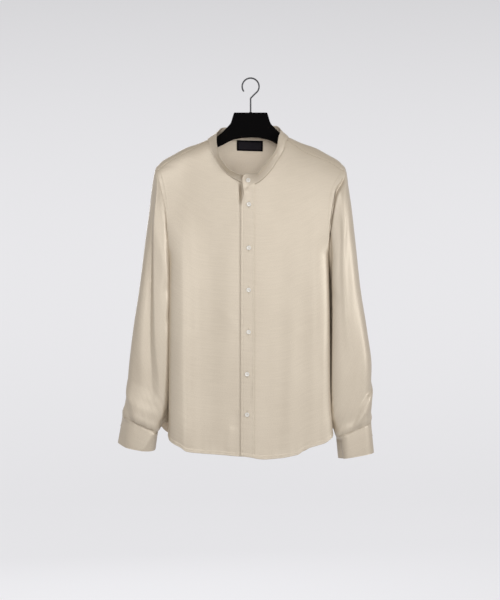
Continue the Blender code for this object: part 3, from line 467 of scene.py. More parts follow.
# Shirt-tail hem by the distance along a row, from the middle (0) to the side seam (1)
HEM = {
    (FRONT, RIGHT): Table(
        "along height", (-0.10, -0.8640), (0.10, -0.8630), (0.30, -0.8590), (0.45, -0.8561),
        (0.55, -0.8535), (0.60, -0.8511), (0.65, -0.8425), (0.72, -0.8345), (0.76, -0.8291),
        (0.80, -0.8191), (0.84, -0.8051), (0.88, -0.7990), (1.00, SIDE_HEM)),
    (FRONT, LEFT): Table(
        "along height", (-0.10, -0.8620), (0.00, -0.8650), (0.13, -0.8695), (0.30, -0.8665),
        (0.40, -0.8618), (0.45, -0.8587), (0.50, -0.8501), (0.55, -0.8442), (0.65, -0.8370),
        (0.70, -0.8336), (0.76, -0.8252), (0.80, -0.8187), (0.84, -0.8097), (0.88, -0.8000),
        (1.00, SIDE_HEM)),
    (BACK, RIGHT): Table(
        "along height", (0.00, -0.8740), (0.30, -0.8700), (0.52, -0.8580), (0.66, -0.8380),
        (0.72, -0.8250), (0.78, -0.8120), (0.84, -0.7950), (0.90, -0.7925), (1.00, SIDE_HEM)),
    (BACK, LEFT): Table(
        "along height", (0.00, -0.8740), (0.30, -0.8720), (0.45, -0.8665), (0.52, -0.8625),
        (0.60, -0.8530), (0.66, -0.8450), (0.76, -0.8280), (0.82, -0.8140), (0.90, -0.7980),
        (1.00, SIDE_HEM)),
}

# %% Panel grids
def armhole_heights():
    """Heights of the armhole's points, from the shoulder point down to the underarm."""
    angle = np.arange(RING // 2 + 1) * 2 * math.pi / RING
    return UNDERARM + (SHOULDER_POINT - UNDERARM) * (1 + np.cos(angle)) / 2


def armhole_loop(side):
    """The armhole's ring: top, front, underarm, back."""
    heights = armhole_heights()
    edge = np.full(heights.shape, math.pi / 2)
    front = torso_point(side, FRONT, edge, heights)
    back = torso_point(side, BACK, edge, heights)
    return np.concatenate([front, back[-2:0:-1], front[:1]])


def turn_for_length(side, face, shares):
    """The turn that lies at each share of a row's length, on a row well below the underarm."""
    turns = np.linspace(0, math.pi / 2, 400)
    row = torso_point(side, face, turns, np.full(turns.shape, PACE_HEIGHT))
    lengths = reach(row[:, None], 0)[:, 0]
    turn = np.interp(np.abs(shares), lengths / lengths[-1], turns)
    return np.sign(shares) * turn


def panel(side, face, shares, tops):
    """A front or half back: columns at shares of the half width, rows from the hem to tops.
    Columns near the middle hang straight down, the others follow the panel's width."""
    hems = HEM[face, side].read("height", shares)
    low = np.linspace(hems[-1], UNDERARM, LOW_ROWS + 1)
    first = {FRONT: FRONT_SEAM_AT, BACK: BACK_SEAM_AT}[face]
    armhole = armhole_heights()[first:-1][::-1]
    rows = (np.concatenate([low, armhole]) - hems[-1]) / (tops[-1] - hems[-1])
    heights = hems + (tops - hems) * rows[:, None]
    upper = np.sign(shares) * np.arcsin(np.clip(np.abs(shares), 0, 1) ** (CORNER / 2))
    lower = turn_for_length(side, face, shares)
    rise = smooth_step((heights - UNDERARM + PACE_BELOW) / PACE_FADE)
    turns = lower * (1 - rise) + upper * rise
    out = shares * half_width(side, SHOULDER_POINT)
    straight = np.abs(out) / half_width(side, heights)
    straight = np.sign(shares) * np.arcsin(np.clip(straight, 0, 1) ** (CORNER / 2))
    near = 1 - smooth_step((np.abs(shares) - STRAIGHT_SHARE) / STRAIGHT_FADE)
    turns = turns * (1 - near) + straight * near
    turns[:, -1] = math.pi / 2
    return torso_point(side, face, turns, heights)


def border_height(side, shares, height_at):
    """Heights of a border given over x, at shares of the half width."""
    heights = height_at(shares * half_width(side, SHOULDER_POINT))
    for _ in range(4):
        heights = height_at(shares * half_width(side, heights))
    return heights


# %% The two fronts
def front_shares(side):
    """Column places of a front: placket, neckline and shoulder."""
    full = half_width(side, SHOULDER_POINT)
    edge = {LEFT: PLACKET_EDGE, RIGHT: -PLACKET_INNER}[side]
    inner = {LEFT: PLACKET_INNER, RIGHT: -PLACKET_EDGE}[side]
    placket = np.linspace(edge, inner, PLACKET_COLUMNS + 1)
    bend = np.sin(np.linspace(0, math.pi / 2, NECK_COLUMNS + 1)) * NECK_BENT
    bend = bend + NECK_EVEN * np.linspace(0, 1, NECK_COLUMNS + 1)
    neck = inner + (NECK_CORNER[side] - inner) * bend
    shoulder = np.linspace(NECK_CORNER[side], full, SHOULDER_COLUMNS + 1)
    return np.concatenate([placket[:-1], neck[:-1], shoulder]) / full


def front_grid(side):
    """One front. Where the two lap at the buttons, the left one is lifted over the right one,
    and its free edge draws back and gapes a little below the collar's tab. The right one sinks
    a little under that edge."""
    shares = front_shares(side)
    tops = border_height(side, shares, lambda x: FRONT_TOP[side].read("height", x))
    tops[-1] = armhole_heights()[FRONT_SEAM_AT]
    grid = panel(side, FRONT, shares, tops)
    beyond = side * grid[..., 0] - {LEFT: PLACKET_INNER, RIGHT: -PLACKET_EDGE}[side]
    lap = 1 - smooth_step(beyond / OVERLAP_FADE)
    grid[..., 1] -= side * OVERLAP_LIFT * lap
    gape = bump(grid[..., 2], GAPE_HEIGHT, GAPE_LENGTH)
    if side == LEFT:
        gape = gape * (1 - smooth_step((beyond + STRIP_WIDTH) / GAPE_FADE))
        grid[..., 0] += GAPE_SHIFT * gape
        grid[..., 1] -= GAPE_LIFT * gape
    else:
        beside = grid[..., 0] - PLACKET_EDGE
        (low, *all_down), (deep, *at_gape) = UNDER_GROOVE, GAPE_GROOVE
        grid[..., 1] += low * bump(beside, *all_down) + deep * gape * bump(beside, *at_gape)
    return grid


# %% The back
BACK_SEAM_MIDDLE = -0.2280


def back_seam_height(x):
    """The yoke's back seam, which sags a little towards the armholes."""
    ends = armhole_heights()[BACK_SEAM_AT]
    edge = half_width(RIGHT, ends)
    return BACK_SEAM_MIDDLE + (ends - BACK_SEAM_MIDDLE) * np.clip(np.abs(x) / edge, 0, 1) ** 2


def back_shares():
    """Column places of half the back, from the middle to the side: neck, then shoulder."""
    neck = np.linspace(0, BACK_NECK_SHARE, BACK_NECK_COLUMNS // 2 + 1)
    return np.concatenate([neck[:-1], np.linspace(BACK_NECK_SHARE, 1, SHOULDER_COLUMNS + 1)])


def back_grid():
    """The whole back panel, from the wearer's right side seam to the left one."""
    halves = {}
    for side in SIDES:
        tops = border_height(side, back_shares(), back_seam_height)
        tops[-1] = armhole_heights()[BACK_SEAM_AT]
        halves[side] = panel(side, BACK, back_shares(), tops)
    middle = (halves[RIGHT][:, :1] + halves[LEFT][:, :1]) / 2
    return np.concatenate([halves[RIGHT][:, :0:-1], middle, halves[LEFT][:, 1:]], axis=1)


fronts = {side: front_grid(side) for side in SIDES}
back = back_grid()
print("front grids", fronts[RIGHT].shape[:2], fronts[LEFT].shape[:2], "back grid", back.shape[:2])

# %% [markdown]
# ## The yoke
# The yoke is one piece over both shoulders. Each of its columns starts at the front seam or the
# neck edge, rolls over the shoulder line and runs down to the back seam.

# %% Yoke grid
BACK_NECK_DEPTH = 0.0250
BACK_NECK_SWELL = {RIGHT: 0.12, LEFT: 0.22}
BACK_NECK_ROUND = 0.75  # below 1, the neck's edge turns sooner towards the back
YOKE_SPREAD = 0.6  # below 1, its columns spread out near the neck


def shoulder_profile():
    """The curve over the shoulder in steps of length: depth and drop, front negative."""
    depths = np.concatenate([-HANG_DEPTH[FRONT] * np.linspace(0.9, 0, 200),
                             HANG_DEPTH[BACK] * np.linspace(0, 0.97, 400)[1:]])
    drops = np.where(depths < 0, hang_drop(FRONT, np.minimum(depths, 0)),
                     hang_drop(BACK, np.maximum(depths, 0)))
    lengths = np.concatenate([[0], np.cumsum(np.hypot(np.diff(depths), np.diff(drops)))])
    return lengths, depths, drops


def yoke_top_border(fronts):
    """The yoke's upper border: right front seam, neck edge round the back, left front seam."""
    right = fronts[RIGHT][-1, -(SHOULDER_COLUMNS + 1):][::-1]
    left = fronts[LEFT][-1, -(SHOULDER_COLUMNS + 1):]
    start, end = right[-1], left[0]
    turn = np.linspace(math.pi, 0, BACK_NECK_COLUMNS + 1)[1:-1]
    half = (end[0] - start[0]) / 2
    swell = np.where(turn > math.pi / 2, BACK_NECK_SWELL[RIGHT], BACK_NECK_SWELL[LEFT])
    x = (start[0] + end[0]) / 2 + half * np.cos(turn) * (1 + swell * np.sin(turn))
    rim = start[1] + (end[1] - start[1]) * (1 - np.cos(turn - math.pi)) / 2
    y = rim + (BACK_NECK_DEPTH - rim) * np.sin(turn) ** BACK_NECK_ROUND
    drop = np.where(y < 0, hang_drop(FRONT, np.minimum(y, 0)), hang_drop(BACK, np.maximum(y, 0)))
    neck = np.stack([x, y, RIDGE.read("height", np.abs(x)) - drop], axis=-1)
    return np.concatenate([right, neck, left])


def yoke_grid(fronts, back):
    """The yoke: each column runs from the upper border over the shoulder to the back seam."""
    top, low = yoke_top_border(fronts), back[-1]
    lengths, depths, drops = shoulder_profile()
    start = np.interp(top[:, 1], depths, lengths)
    end = np.interp(low[:, 1], depths, lengths)
    loops = {side: armhole_loop(side) for side in SIDES}
    places = np.arange(FRONT_SEAM_AT, -BACK_SEAM_AT - 1, -1)
    side_lengths = np.interp(loops[RIGHT][places % RING][:, 1], depths, lengths)
    part = (side_lengths - side_lengths[0]) / (side_lengths[-1] - side_lengths[0])
    length = start + (end - start) * part[:, None]
    x = top[:, 0] + (low[:, 0] - top[:, 0]) * part[:, None] ** YOKE_SPREAD
    z = RIDGE.read("height", np.abs(x)) - np.interp(length, lengths, drops)
    grid = np.stack([x, np.interp(length, lengths, depths), z], axis=-1)
    ridge = np.interp(0.0, depths, lengths)
    near_front = np.clip((ridge - length) / np.maximum(ridge - start, 1e-9), 0, 1)
    near_back = np.clip((length - ridge) / (end - ridge), 0, 1)
    for border, at, share in ((top, 0, near_front), (low, -1, near_back)):
        share = np.where(part[:, None] == (at != 0), 1.0, share)
        grid = grid + (border - grid[at]) * share[..., None]
    grid[:, 0] = loops[RIGHT][places % RING]
    grid[:, -1] = loops[LEFT][places % RING]
    return grid


yoke = yoke_grid(fronts, back)
print("yoke grid", yoke.shape[:2])

# %% [markdown]
# ## The sleeves
# A sleeve is a tube from the armhole's ring to the cuff. Hanging beside the body it is nearly
# flat, with a few sharp creases along it: one down the front from the shoulder, one where the
# pleat runs out of the cuff, and softer ones behind.

# %% Sleeve sizes
# The outer and the inner line of each sleeve by the share of its length
SLEEVE = {
    RIGHT: Table(
        "share outer_x outer_z inner_x inner_z", (0.00, 0.2170, -0.2045, 0.1885, -0.4020),
        (0.03, 0.2188, -0.2085, 0.1925, -0.4035), (0.08, 0.2215, -0.2160, 0.1935, -0.4080),
        (0.18, 0.2265, -0.2450, 0.1920, -0.4260), (0.30, 0.2335, -0.3050, 0.1905, -0.4560),
        (0.42, 0.2425, -0.3780, 0.1895, -0.4980), (0.55, 0.2542, -0.4780, 0.1898, -0.5630),
        (0.68, 0.2690, -0.5780, 0.1910, -0.6380), (0.80, 0.2785, -0.6600, 0.1930, -0.7080),
        (0.90, 0.2840, -0.7220, 0.1955, -0.7600), (1.00, 0.2928, -0.7710, 0.2132, -0.8078)),
    LEFT: Table(
        "share outer_x outer_z inner_x inner_z", (0.00, 0.2165, -0.2045, 0.1785, -0.4020),
        (0.03, 0.2180, -0.2090, 0.1830, -0.4035), (0.08, 0.2205, -0.2180, 0.1860, -0.4085),
        (0.18, 0.2245, -0.2480, 0.1875, -0.4270), (0.30, 0.2320, -0.3050, 0.1880, -0.4560),
        (0.42, 0.2402, -0.3780, 0.1885, -0.4980), (0.55, 0.2515, -0.4820, 0.1880, -0.5640),
        (0.68, 0.2670, -0.5800, 0.1862, -0.6440), (0.80, 0.2768, -0.6600, 0.1842, -0.7150),
        (0.90, 0.2752, -0.7250, 0.1845, -0.7700), (1.00, 0.2755, -0.7864, 0.1969, -0.8193)),
}
# Half its thickness and the place of its middle, which both sleeves share
SLEEVE_DEPTH = Table(
    "share deep middle", (0.00, 0.046, 0.002), (0.03, 0.047, 0.002), (0.08, 0.049, 0.002),
    (0.18, 0.052, 0.002), (0.30, 0.053, 0.001), (0.42, 0.051, 0.000), (0.55, 0.048, -0.002),
    (0.68, 0.044, -0.004), (0.80, 0.040, -0.005), (0.90, 0.036, -0.005), (1.00, 0.031, -0.004))
SLEEVE_ROWS = 150
SLEEVE_SQUARE = {RIGHT: 3.8, LEFT: 3.4}

# Creases along a sleeve: each starts with its width in degrees on its outer and its inner side,
# and where the two differ, the narrower side is a straight steep wall. Then come the share of the
# sleeve's length, the angle from the outer edge towards the front, and the depth, which is below
# 0 for a ridge.
CREASES = {
    RIGHT: (
        (30, 14, (0.04, 26, 0.0), (0.08, 34, 0.005), (0.18, 44, 0.012), (0.30, 50, 0.0150),
         (0.42, 60, 0.0140), (0.55, 73, 0.010), (0.68, 87, 0.007), (0.80, 101, 0.004),
         (0.88, 106, 0.0)),
        (18, 60, (0.84, 20, 0.0), (0.895, 40, -0.005), (0.93, 60, -0.008), (0.968, 70, -0.009),
         (1.00, 84, -0.003)),
        (7, 5, (0.86, 152, 0.0), (0.92, 148, 0.0025), (1.00, 143, 0.001)),
        (15, 15, (0.30, 244, 0.0), (0.50, 256, 0.006), (0.75, 270, 0.005), (0.95, 281, 0.0)),
        (9, 9, (0.34, 146, 0.0), (0.42, 130, 0.0020), (0.50, 110, 0.0)),
        (8, 8, (0.44, 152, 0.0), (0.52, 137, 0.0018), (0.60, 124, 0.0)),
        (11, 11, (0.56, 34, 0.0), (0.72, 46, 0.0016), (0.90, 64, 0.0)),
        (12, 12, (0.30, 311, 0.0), (0.55, 320, 0.0030), (0.85, 326, 0.0)),
        (12, 12, (0.10, 226, 0.0), (0.30, 219, 0.0030), (0.60, 216, 0.0)),
    ),
    LEFT: (
        (8, 20, (0.03, 118, 0.0), (0.09, 120, 0.003), (0.18, 128, 0.006), (0.30, 139, 0.011),
         (0.42, 142, 0.013), (0.55, 142, 0.012), (0.68, 142, 0.010), (0.80, 142, 0.006),
         (0.90, 140, 0.0)),
        (12, 12, (0.08, 50, 0.0), (0.18, 62, -0.003), (0.30, 78, -0.0035), (0.42, 87, -0.003),
         (0.55, 89, -0.002), (0.75, 85, 0.0)),
        (30, 12, (0.85, 0, 0.0), (0.875, 12, -0.004), (0.895, 42, -0.007), (0.915, 52, -0.008),
         (0.945, 61, -0.008), (0.968, 74, -0.006), (0.99, 86, 0.0)),
        (15, 15, (0.30, 291, 0.0), (0.52, 281, 0.005), (0.75, 261, 0.005), (0.95, 256, 0.0)),
        (9, 9, (0.36, 148, 0.0), (0.44, 133, 0.0018), (0.52, 116, 0.0)),
        (12, 12, (0.50, 56, 0.0), (0.70, 61, 0.0016), (0.92, 85, 0.0)),
        (12, 12, (0.30, 317, 0.0), (0.58, 313, 0.0032), (0.88, 319, 0.0)),
        (12, 12, (0.10, 221, 0.0), (0.32, 226, 0.0030), (0.62, 217, 0.0)),
        (8, 8, (0.84, 171, 0.0), (0.90, 162, 0.0020), (0.98, 152, 0.0)),
    ),
}
CREASE_TABLES = {side: [(Table("share angle depth", *rows), outer_width, inner_width)
                        for outer_width, inner_width, *rows in CREASES[side]] for side in SIDES}
SLEEVE_TUCK = 0.38  # how far the sleeve fills the hollow that the side seam leaves
TUCK_FADE = 0.15  # share of its length over which that ends at the cuff
ARMHOLE_EASE = 0.30  # share over which its rings turn from the armhole's form to its own
CUFF_TOP_DIP = 0.004  # how far its last ring dips at the front
UNDERARM_FILL = Table(
    "share fill", (0.00, 0.0), (0.03, 0.009), (0.10, 0.010), (0.20, 0.007), (0.34, 0.003),
    (0.50, 0.0))


# %% Sleeve form
def ring_points(outer, inner, deep, middle, dip, angles, square):
    """A sleeve ring between its outer and inner points, squarer as square grows."""
    cos, sin = np.cos(angles), np.sin(angles)
    radius = (np.abs(cos) ** square + np.abs(sin) ** square) ** (-1 / square)
    wide, thick = cos * radius, sin * radius
    x = (outer[0] + inner[0]) / 2 + (outer[0] - inner[0]) / 2 * wide
    z = (outer[1] + inner[1]) / 2 + (outer[1] - inner[1]) / 2 * wide - dip * thick
    return np.stack([x, middle - deep * thick, z], axis=-1)


def crease_depth(side, share, angles):
    """Depth of the sleeve's creases at a share of its length, round the ring."""
    depth = np.zeros(angles.shape)
    for crease, outer_width, inner_width in CREASE_TABLES[side]:
        if crease.at[0] < share < crease.at[-1]:
            away = np.degrees(angles) - crease.read("angle", share)
            away = (away + 180) % 360 - 180
            width, other = np.where(away < 0, [[outer_width], [inner_width]],
                                    [[inner_width], [outer_width]])
            wall = np.clip(1 - np.abs(away) / width, 0, 1)
            form = np.where(width < other, wall, bump(away, 0.0, width))
            depth += crease.read("depth", share) * form
    return depth


def sleeve_ring(side, share):
    """One ring of a sleeve, before it is fitted to the armhole."""
    angles = np.arange(RING + 1) * 2 * math.pi / RING
    size = {name: table.read(name, share) for table in (SLEEVE[side], SLEEVE_DEPTH)
            for name in table.columns}
    tuck = SLEEVE_TUCK * SIDE_TUCK.read("depth", size["inner_z"])
    tuck = tuck * smooth_step((1 - share) / TUCK_FADE) + UNDERARM_FILL.read("fill", share)
    ring = ring_points((size["outer_x"], size["outer_z"]), (size["inner_x"] - tuck, size["inner_z"]),
                       size["deep"], size["middle"], CUFF_TOP_DIP * share, angles,
                       SLEEVE_SQUARE[side])
    inward = ring.mean(axis=0) - ring
    inward /= np.linalg.norm(inward, axis=1)[:, None]
    return ring + inward * crease_depth(side, share, angles)[:, None]


def sleeve_grid(side):
    """A sleeve from the armhole's ring to the cuff's."""
    loop = armhole_loop(side) * (side, 1, 1)
    misfit = loop - sleeve_ring(side, 0.0)
    rings = []
    for share in np.linspace(0, 1, SLEEVE_ROWS + 1):
        rings.append(sleeve_ring(side, share) + misfit * (1 - smooth_step(share / ARMHOLE_EASE)))
    return np.array(rings) * (side, 1, 1)


# %% Cuff sizes and form
# The lower edge: its outer and inner point, half its thickness, and how far its front dips
CUFF_LOW = {
    RIGHT: {"outer": (0.3045, -0.8352), "inner": (0.2190, -0.8500), "deep": 0.031, "dip": 0.008},
    LEFT: {"outer": (0.2824, -0.8579), "inner": (0.2015, -0.8722), "deep": 0.031, "dip": 0.001},
}
CUFF_MIDDLE = -0.003
CUFF_SQUARE = {RIGHT: 2.4, LEFT: 3.0}
CUFF_ROWS = 4 * FINE
CUFF_OPENING = 300.0  # in degrees from the outer edge, round by the front
CUFF_OVERLAP = 3 * FINE
CUFF_LIFT = 0.0013  # the outer end of the lap is lifted this much, and the inner one sinks


def cuff_grid(side, sleeve):
    """A cuff from the sleeve's last ring down, lapped over itself at its opening."""
    angles = np.arange(RING + 1) * 2 * math.pi / RING
    low = CUFF_LOW[side]
    bottom = ring_points(low["outer"], low["inner"], low["deep"], CUFF_MIDDLE, low["dip"], angles,
                         CUFF_SQUARE[side]) * (side, 1, 1)
    steps = np.arange(RING + CUFF_OVERLAP + 1)
    order = (round(CUFF_OPENING / 360 * RING) + steps) % RING
    part = np.linspace(0, 1, CUFF_ROWS)[:, None, None]
    grid = sleeve[-1][order] * (1 - part) + bottom[order] * part
    centre = grid[:, :RING].mean(axis=1)[:, None]
    outward = grid - centre
    outward /= np.linalg.norm(outward, axis=2)[..., None]
    lift = smooth_step((steps - RING + CUFF_OVERLAP) / CUFF_OVERLAP)
    sink = 1 - smooth_step(steps / CUFF_OVERLAP - 1)
    return grid + outward * (CUFF_LIFT * (lift - sink))[None, :, None]


sleeves = {side: sleeve_grid(side) for side in SIDES}
cuffs = {side: cuff_grid(side, sleeves[side]) for side in SIDES}
print("sleeve grid", sleeves[RIGHT].shape[:2], "cuff grid", cuffs[RIGHT].shape[:2])

# %% [markdown]
# ## The band
# The collar is one upright strip, sewn to the neckline and lapped at the front, where its rounded
# tab is buttoned. Its top edge is given as seen from the neckline below it. At the sides it leans
# in over the neck and curls forward, and at the tab and the back it stands nearly upright.

# %% Band sizes and form
# Its top edge by the length from the buttons: how far it leans in, forward and up from its seam
BAND = {
    LEFT: Table(
        "along inward forward up", (-0.0185, 0.0040, 0.0060, 0.0308),
        (-0.0070, 0.0035, 0.0070, 0.0320), (0.0000, 0.0025, 0.0080, 0.0293),
        (0.0104, 0.0040, 0.0110, 0.0238), (0.0256, 0.0050, 0.0150, 0.0173),
        (0.0434, 0.0111, 0.0170, 0.0110), (0.0709, 0.0129, 0.0170, 0.0102),
        (0.0935, 0.0133, 0.0160, 0.0075), (0.1200, 0.0148, 0.0130, 0.0066),
        (0.1460, 0.0168, 0.0080, 0.0117), (0.1680, 0.0166, 0.0030, 0.0160),
        (0.1950, 0.0110, 0.0000, 0.0268), (0.2650, 0.0000, 0.0010, 0.0295)),
    RIGHT: Table(
        "along inward forward up", (-0.0200, 0.0040, -0.0020, 0.0160),
        (-0.0100, 0.0035, 0.0000, 0.0200), (0.0000, 0.0033, 0.0030, 0.0221),
        (0.0200, 0.0076, 0.0110, 0.0130), (0.0418, 0.0087, 0.0160, 0.0084),
        (0.0690, 0.0099, 0.0175, 0.0025), (0.0960, 0.0095, 0.0165, 0.0028),
        (0.1180, 0.0138, 0.0130, 0.0049), (0.1474, 0.0178, 0.0080, 0.0128),
        (0.1650, 0.0216, 0.0030, 0.0180), (0.1950, 0.0110, 0.0000, 0.0274),
        (0.2630, 0.0000, 0.0010, 0.0295)),
}
BAND_ROWS = 4 * FINE
BAND_CURL = 1.5  # above 1, it curls forward towards its top
BUTTON_LINE = -0.0060
TAB_ROUND, TAB_HEIGHT = 0.0085, 0.031  # radius of the tab's corner, and the tab's height


def button_length(seam, along, layer):
    """Length along the neckline at which one of its two layers passes the buttons."""
    front = layer & (np.abs(seam[:, 0]) < 0.05) & (seam[:, 1] < 0)
    order = np.argsort(seam[front, 0])
    return np.interp(BUTTON_LINE, seam[front, 0][order], along[front][order])


def band_grid(fronts, yoke):
    """The collar band: from the tab on the left front round the back to its end underneath."""
    neck = PLACKET_COLUMNS + NECK_COLUMNS + 1
    back_neck = yoke[0, SHOULDER_COLUMNS + 1:-SHOULDER_COLUMNS - 1][::-1]
    seam = np.concatenate([fronts[LEFT][-1, :neck], back_neck, fronts[RIGHT][-1, :neck][::-1]])
    along = reach(seam[:, None], 0)[:, 0]
    places = np.arange(len(seam))
    middle_back = (len(seam) - 1) / 2
    rise = np.zeros(seam.shape)
    for side, layer in ((LEFT, places <= middle_back), (RIGHT, places >= middle_back)):
        distance = side * (along - button_length(seam, along, layer))[layer]
        rise[layer] = np.stack([-side * BAND[side].read("inward", distance),
                                -BAND[side].read("forward", distance),
                                BAND[side].read("up", distance)], axis=-1)
    part = np.linspace(0, 1, BAND_ROWS)[:, None]
    short = np.clip(1 - along / TAB_ROUND, 0, 1)
    drop = TAB_ROUND * (1 - np.sqrt(1 - short ** 2)) / TAB_HEIGHT
    return seam + rise * np.stack([part, part ** BAND_CURL, part], axis=-1) * (1 - drop)[:, None]


# %% [markdown]
# ## From a grid to a piece of cloth
# Each grid is laid again with rows and columns at exact distances from its seams, because a seam's
# relief is only a few millimetres wide. The relief then moves the points along the cloth's outward
# direction. The mesh itself starts as a bmesh grid whose points are moved onto the form, and
# Solidify and Bevel give it the thickness and the soft edges of real cloth.

# %% Cloth tools
# Distances of the first rows from a border, the spacing of the others, and the cloth's thickness
SEAM_LINES = (0.0, 0.0005, 0.0010, 0.0016, 0.0022, 0.0030, 0.0042, 0.0056, 0.0064, 0.0072, 0.0085,
              0.0095, 0.0110)
CLOTH_STEP = 0.0034
WALL = 0.0008
# Distances of the rows of stitches from the border that each follows
HEM_STITCH, SEAM_STITCH, EDGE_STITCH = 0.0056, 0.0016, 0.0022
STRIP_STITCH, ARMHOLE_STITCH = 0.0042, 0.0085


def relaid(grid, axis, step=CLOTH_STEP):
    """The same surface with new rows or columns: at set distances from its two borders, and
    evenly spaced between them."""
    lines = np.moveaxis(grid, axis, 0)
    along = reach(lines, 0)
    total = along[-1]
    seam = np.array(SEAM_LINES)[:, None]
    low, high = SEAM_LINES[-1], total - SEAM_LINES[-1]
    count = max(2, round((high - low).mean() / step))
    between = np.linspace(0, 1, count + 1)[1:-1, None]
    places = np.concatenate([seam + 0 * total, low + (high - low) * between, total - seam[::-1]])
    laid = np.empty((len(places), lines.shape[1], 3))
    for column in range(lines.shape[1]):
        for part in range(3):
            laid[:, column, part] = np.interp(places[:, column], along[:, column],
                                              lines[:, column, part])
    return np.moveaxis(laid, 0, axis)


def outward_directions(grid, centre, closed):
    """Unit directions away from the centre, square to the cloth."""
    over = np.gradient(grid, axis=1)
    if closed:
        ring = grid[:, :-1]
        over = (np.roll(ring, -1, axis=1) - np.roll(ring, 1, axis=1)) / 2
        over = np.concatenate([over, over[:, :1]], axis=1)
    normals = np.cross(np.gradient(grid, axis=0), over)
    normals /= np.maximum(np.linalg.norm(normals, axis=2), 1e-12)[..., None]
    return normals if np.sum(normals * (grid - centre)) > 0 else -normals


class Cloth:
    """One sewn piece: its points, outward directions and distances from its four borders."""

    def __init__(self, grid, centre, closed=False):
        self.grid, self.closed = grid, closed
        self.normals = outward_directions(grid, centre, closed)
        over, down = reach(grid, 1), reach(grid, 0)
        self.over, self.down = over, down
        self.first, self.last = over, over[:, -1:] - over
        self.start, self.end = down, down[-1:] - down

    def lift(self, relief):
        """Moves the cloth outwards by a height at each point."""
        self.grid = self.grid + self.normals * relief[..., None]

    def line(self, distance, border, low=0.0, high=1.0):
        """Points and directions along a line at a distance from one border, over a share of it."""
        away = getattr(self, border)
        by_row = border in ("start", "end")
        away, points, walls = [np.moveaxis(values, 0 if by_row else 1, 0)
                               for values in (away, self.grid, self.normals)]
        row = np.argmin(np.abs(away - distance).mean(axis=1))
        count = points.shape[1]
        part = slice(round(low * (count - 1)), round(high * (count - 1)) + 1)
        return points[row, part], walls[row, part]


def lapped(distance, width, height):
    """Relief of a folded edge: raised near its border, then a step down to the single cloth."""
    rounded = smooth_step(distance / 0.0008 + 0.35)
    return height * rounded * (1 - smooth_step((distance - width) / 0.0014))


def armhole_lap(distance):
    """The lap along an armhole, with the groove at its foot."""
    return lapped(distance, ARMHOLE_STITCH, 0.0003) - 0.0002 * bump(distance, 0.0095, 0.0010)


def stitch_groove(distance):
    """The groove that an edge stitch draws."""
    return 0.0003 * bump(distance, EDGE_STITCH, 0.0006)


def pucker(along, distance, size, wave, fade):
    """Small ripples that a seam's thread draws into the cloth beside it: two slow swings keep
    their spacing uneven."""
    swing = along + 0.35 * wave * np.sin(along / (2.3 * wave))
    swing = swing + 0.2 * wave * np.sin(along / (0.9 * wave))
    return size * np.sin(2 * math.pi * swing / wave) * np.exp(-distance / fade)


# %% Cloth meshes
def shade_by_angle(mesh, degrees=40):
    """Smooth shading, broken where the surface turns by more than an angle."""
    mesh.shade_smooth()
    mesh.set_sharp_from_angle(angle=math.radians(degrees))


def add_object(name, bm, finishes):
    """Makes an object from a bmesh, which it uses up."""
    mesh = bpy.data.meshes.new(name)
    bm.to_mesh(mesh)
    bm.free()
    for finish in finishes:
        mesh.materials.append(finish)
    made = bpy.data.objects.new(name, mesh)
    bpy.context.scene.collection.objects.link(made)
    return made


def add_piece(name, bm, finishes, nodes=()):
    """Adds a piece of the shirt, rides it on the shirt and hides the imported parts it stands for.
    """
    made = add_object(name, bm, finishes)
    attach(made, "root")
    if nodes:
        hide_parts(*nodes)
    return made


def grid_bmesh(cloth):
    """A bmesh grid laid on a cloth's points, with the cloth's own lengths as its UV map."""
    rows, columns = cloth.grid.shape[:2]
    bm = bmesh.new()
    bmesh.ops.create_grid(bm, x_segments=columns - 1, y_segments=rows - 1, size=0.5)
    uv = bm.loops.layers.uv.new("cloth")
    places = {vert: (round((vert.co.y + 0.5) * (rows - 1)), round((vert.co.x + 0.5) * (columns - 1)))
              for vert in bm.verts}
    for face in bm.faces:
        for loop in face.loops:
            place = places[loop.vert]
            loop[uv].uv = (cloth.over[place], cloth.down[place])
    for vert, place in places.items():
        vert.co = cloth.grid[place]
    bm.normal_update()
    middle = bm.faces[:][len(bm.faces) // 2]
    if middle.normal.dot(Vector(cloth.normals[places[middle.verts[0]]])) < 0:
        bmesh.ops.reverse_faces(bm, faces=bm.faces)
    if cloth.closed:
        bmesh.ops.remove_doubles(bm, verts=bm.verts, dist=1e-6)
    return bm


def soften(made, name, width, segments, degrees):
    """Rounds the edges that turn by more than an angle."""
    edges = made.modifiers.new(name, "BEVEL")
    edges.width = width
    edges.segments = segments
    edges.limit_method = "ANGLE"
    edges.angle_limit = math.radians(degrees)
    edges.harden_normals = True


def cloth_piece(name, cloth, nodes, wall=WALL, finishes=(satin, satin_back_painted_lighter)):
    """The finished cloth: a sheet with thickness, softened along its free edges."""
    made = add_piece(name, grid_bmesh(cloth), finishes, nodes)
    made.data.shade_smooth()
    solid = made.modifiers.new("thickness", "SOLIDIFY")
    solid.thickness = wall
    solid.offset = 0.0
    solid.material_offset = 1
    soften(made, "soft_edges", wall * 0.38, 2, 60)
    print(name, cloth.grid.shape[:2])
    return made


cloths = {}


def sewn(name, cloth, relief, wall=WALL, node=None):
    """Lifts a relief onto a cloth, keeps the cloth for its stitches, and makes its piece."""
    cloth.lift(relief)
    cloths[name] = cloth
    cloth_piece(f"cloth_{name}", cloth, [node or name], wall)


# %% [markdown]
# ## Cutting and sewing the pieces
# The relief of each piece follows how it is sewn. The yoke laps over the fronts and the back, these
# three lap over the sleeves, and each lap is stitched through. Hems are folded twice. The head of
# a sleeve is eased in, which leaves faint ripples beside the armhole.

# %% Fronts
BODY_CENTRE = np.array([0.0, 0.0, -0.35])


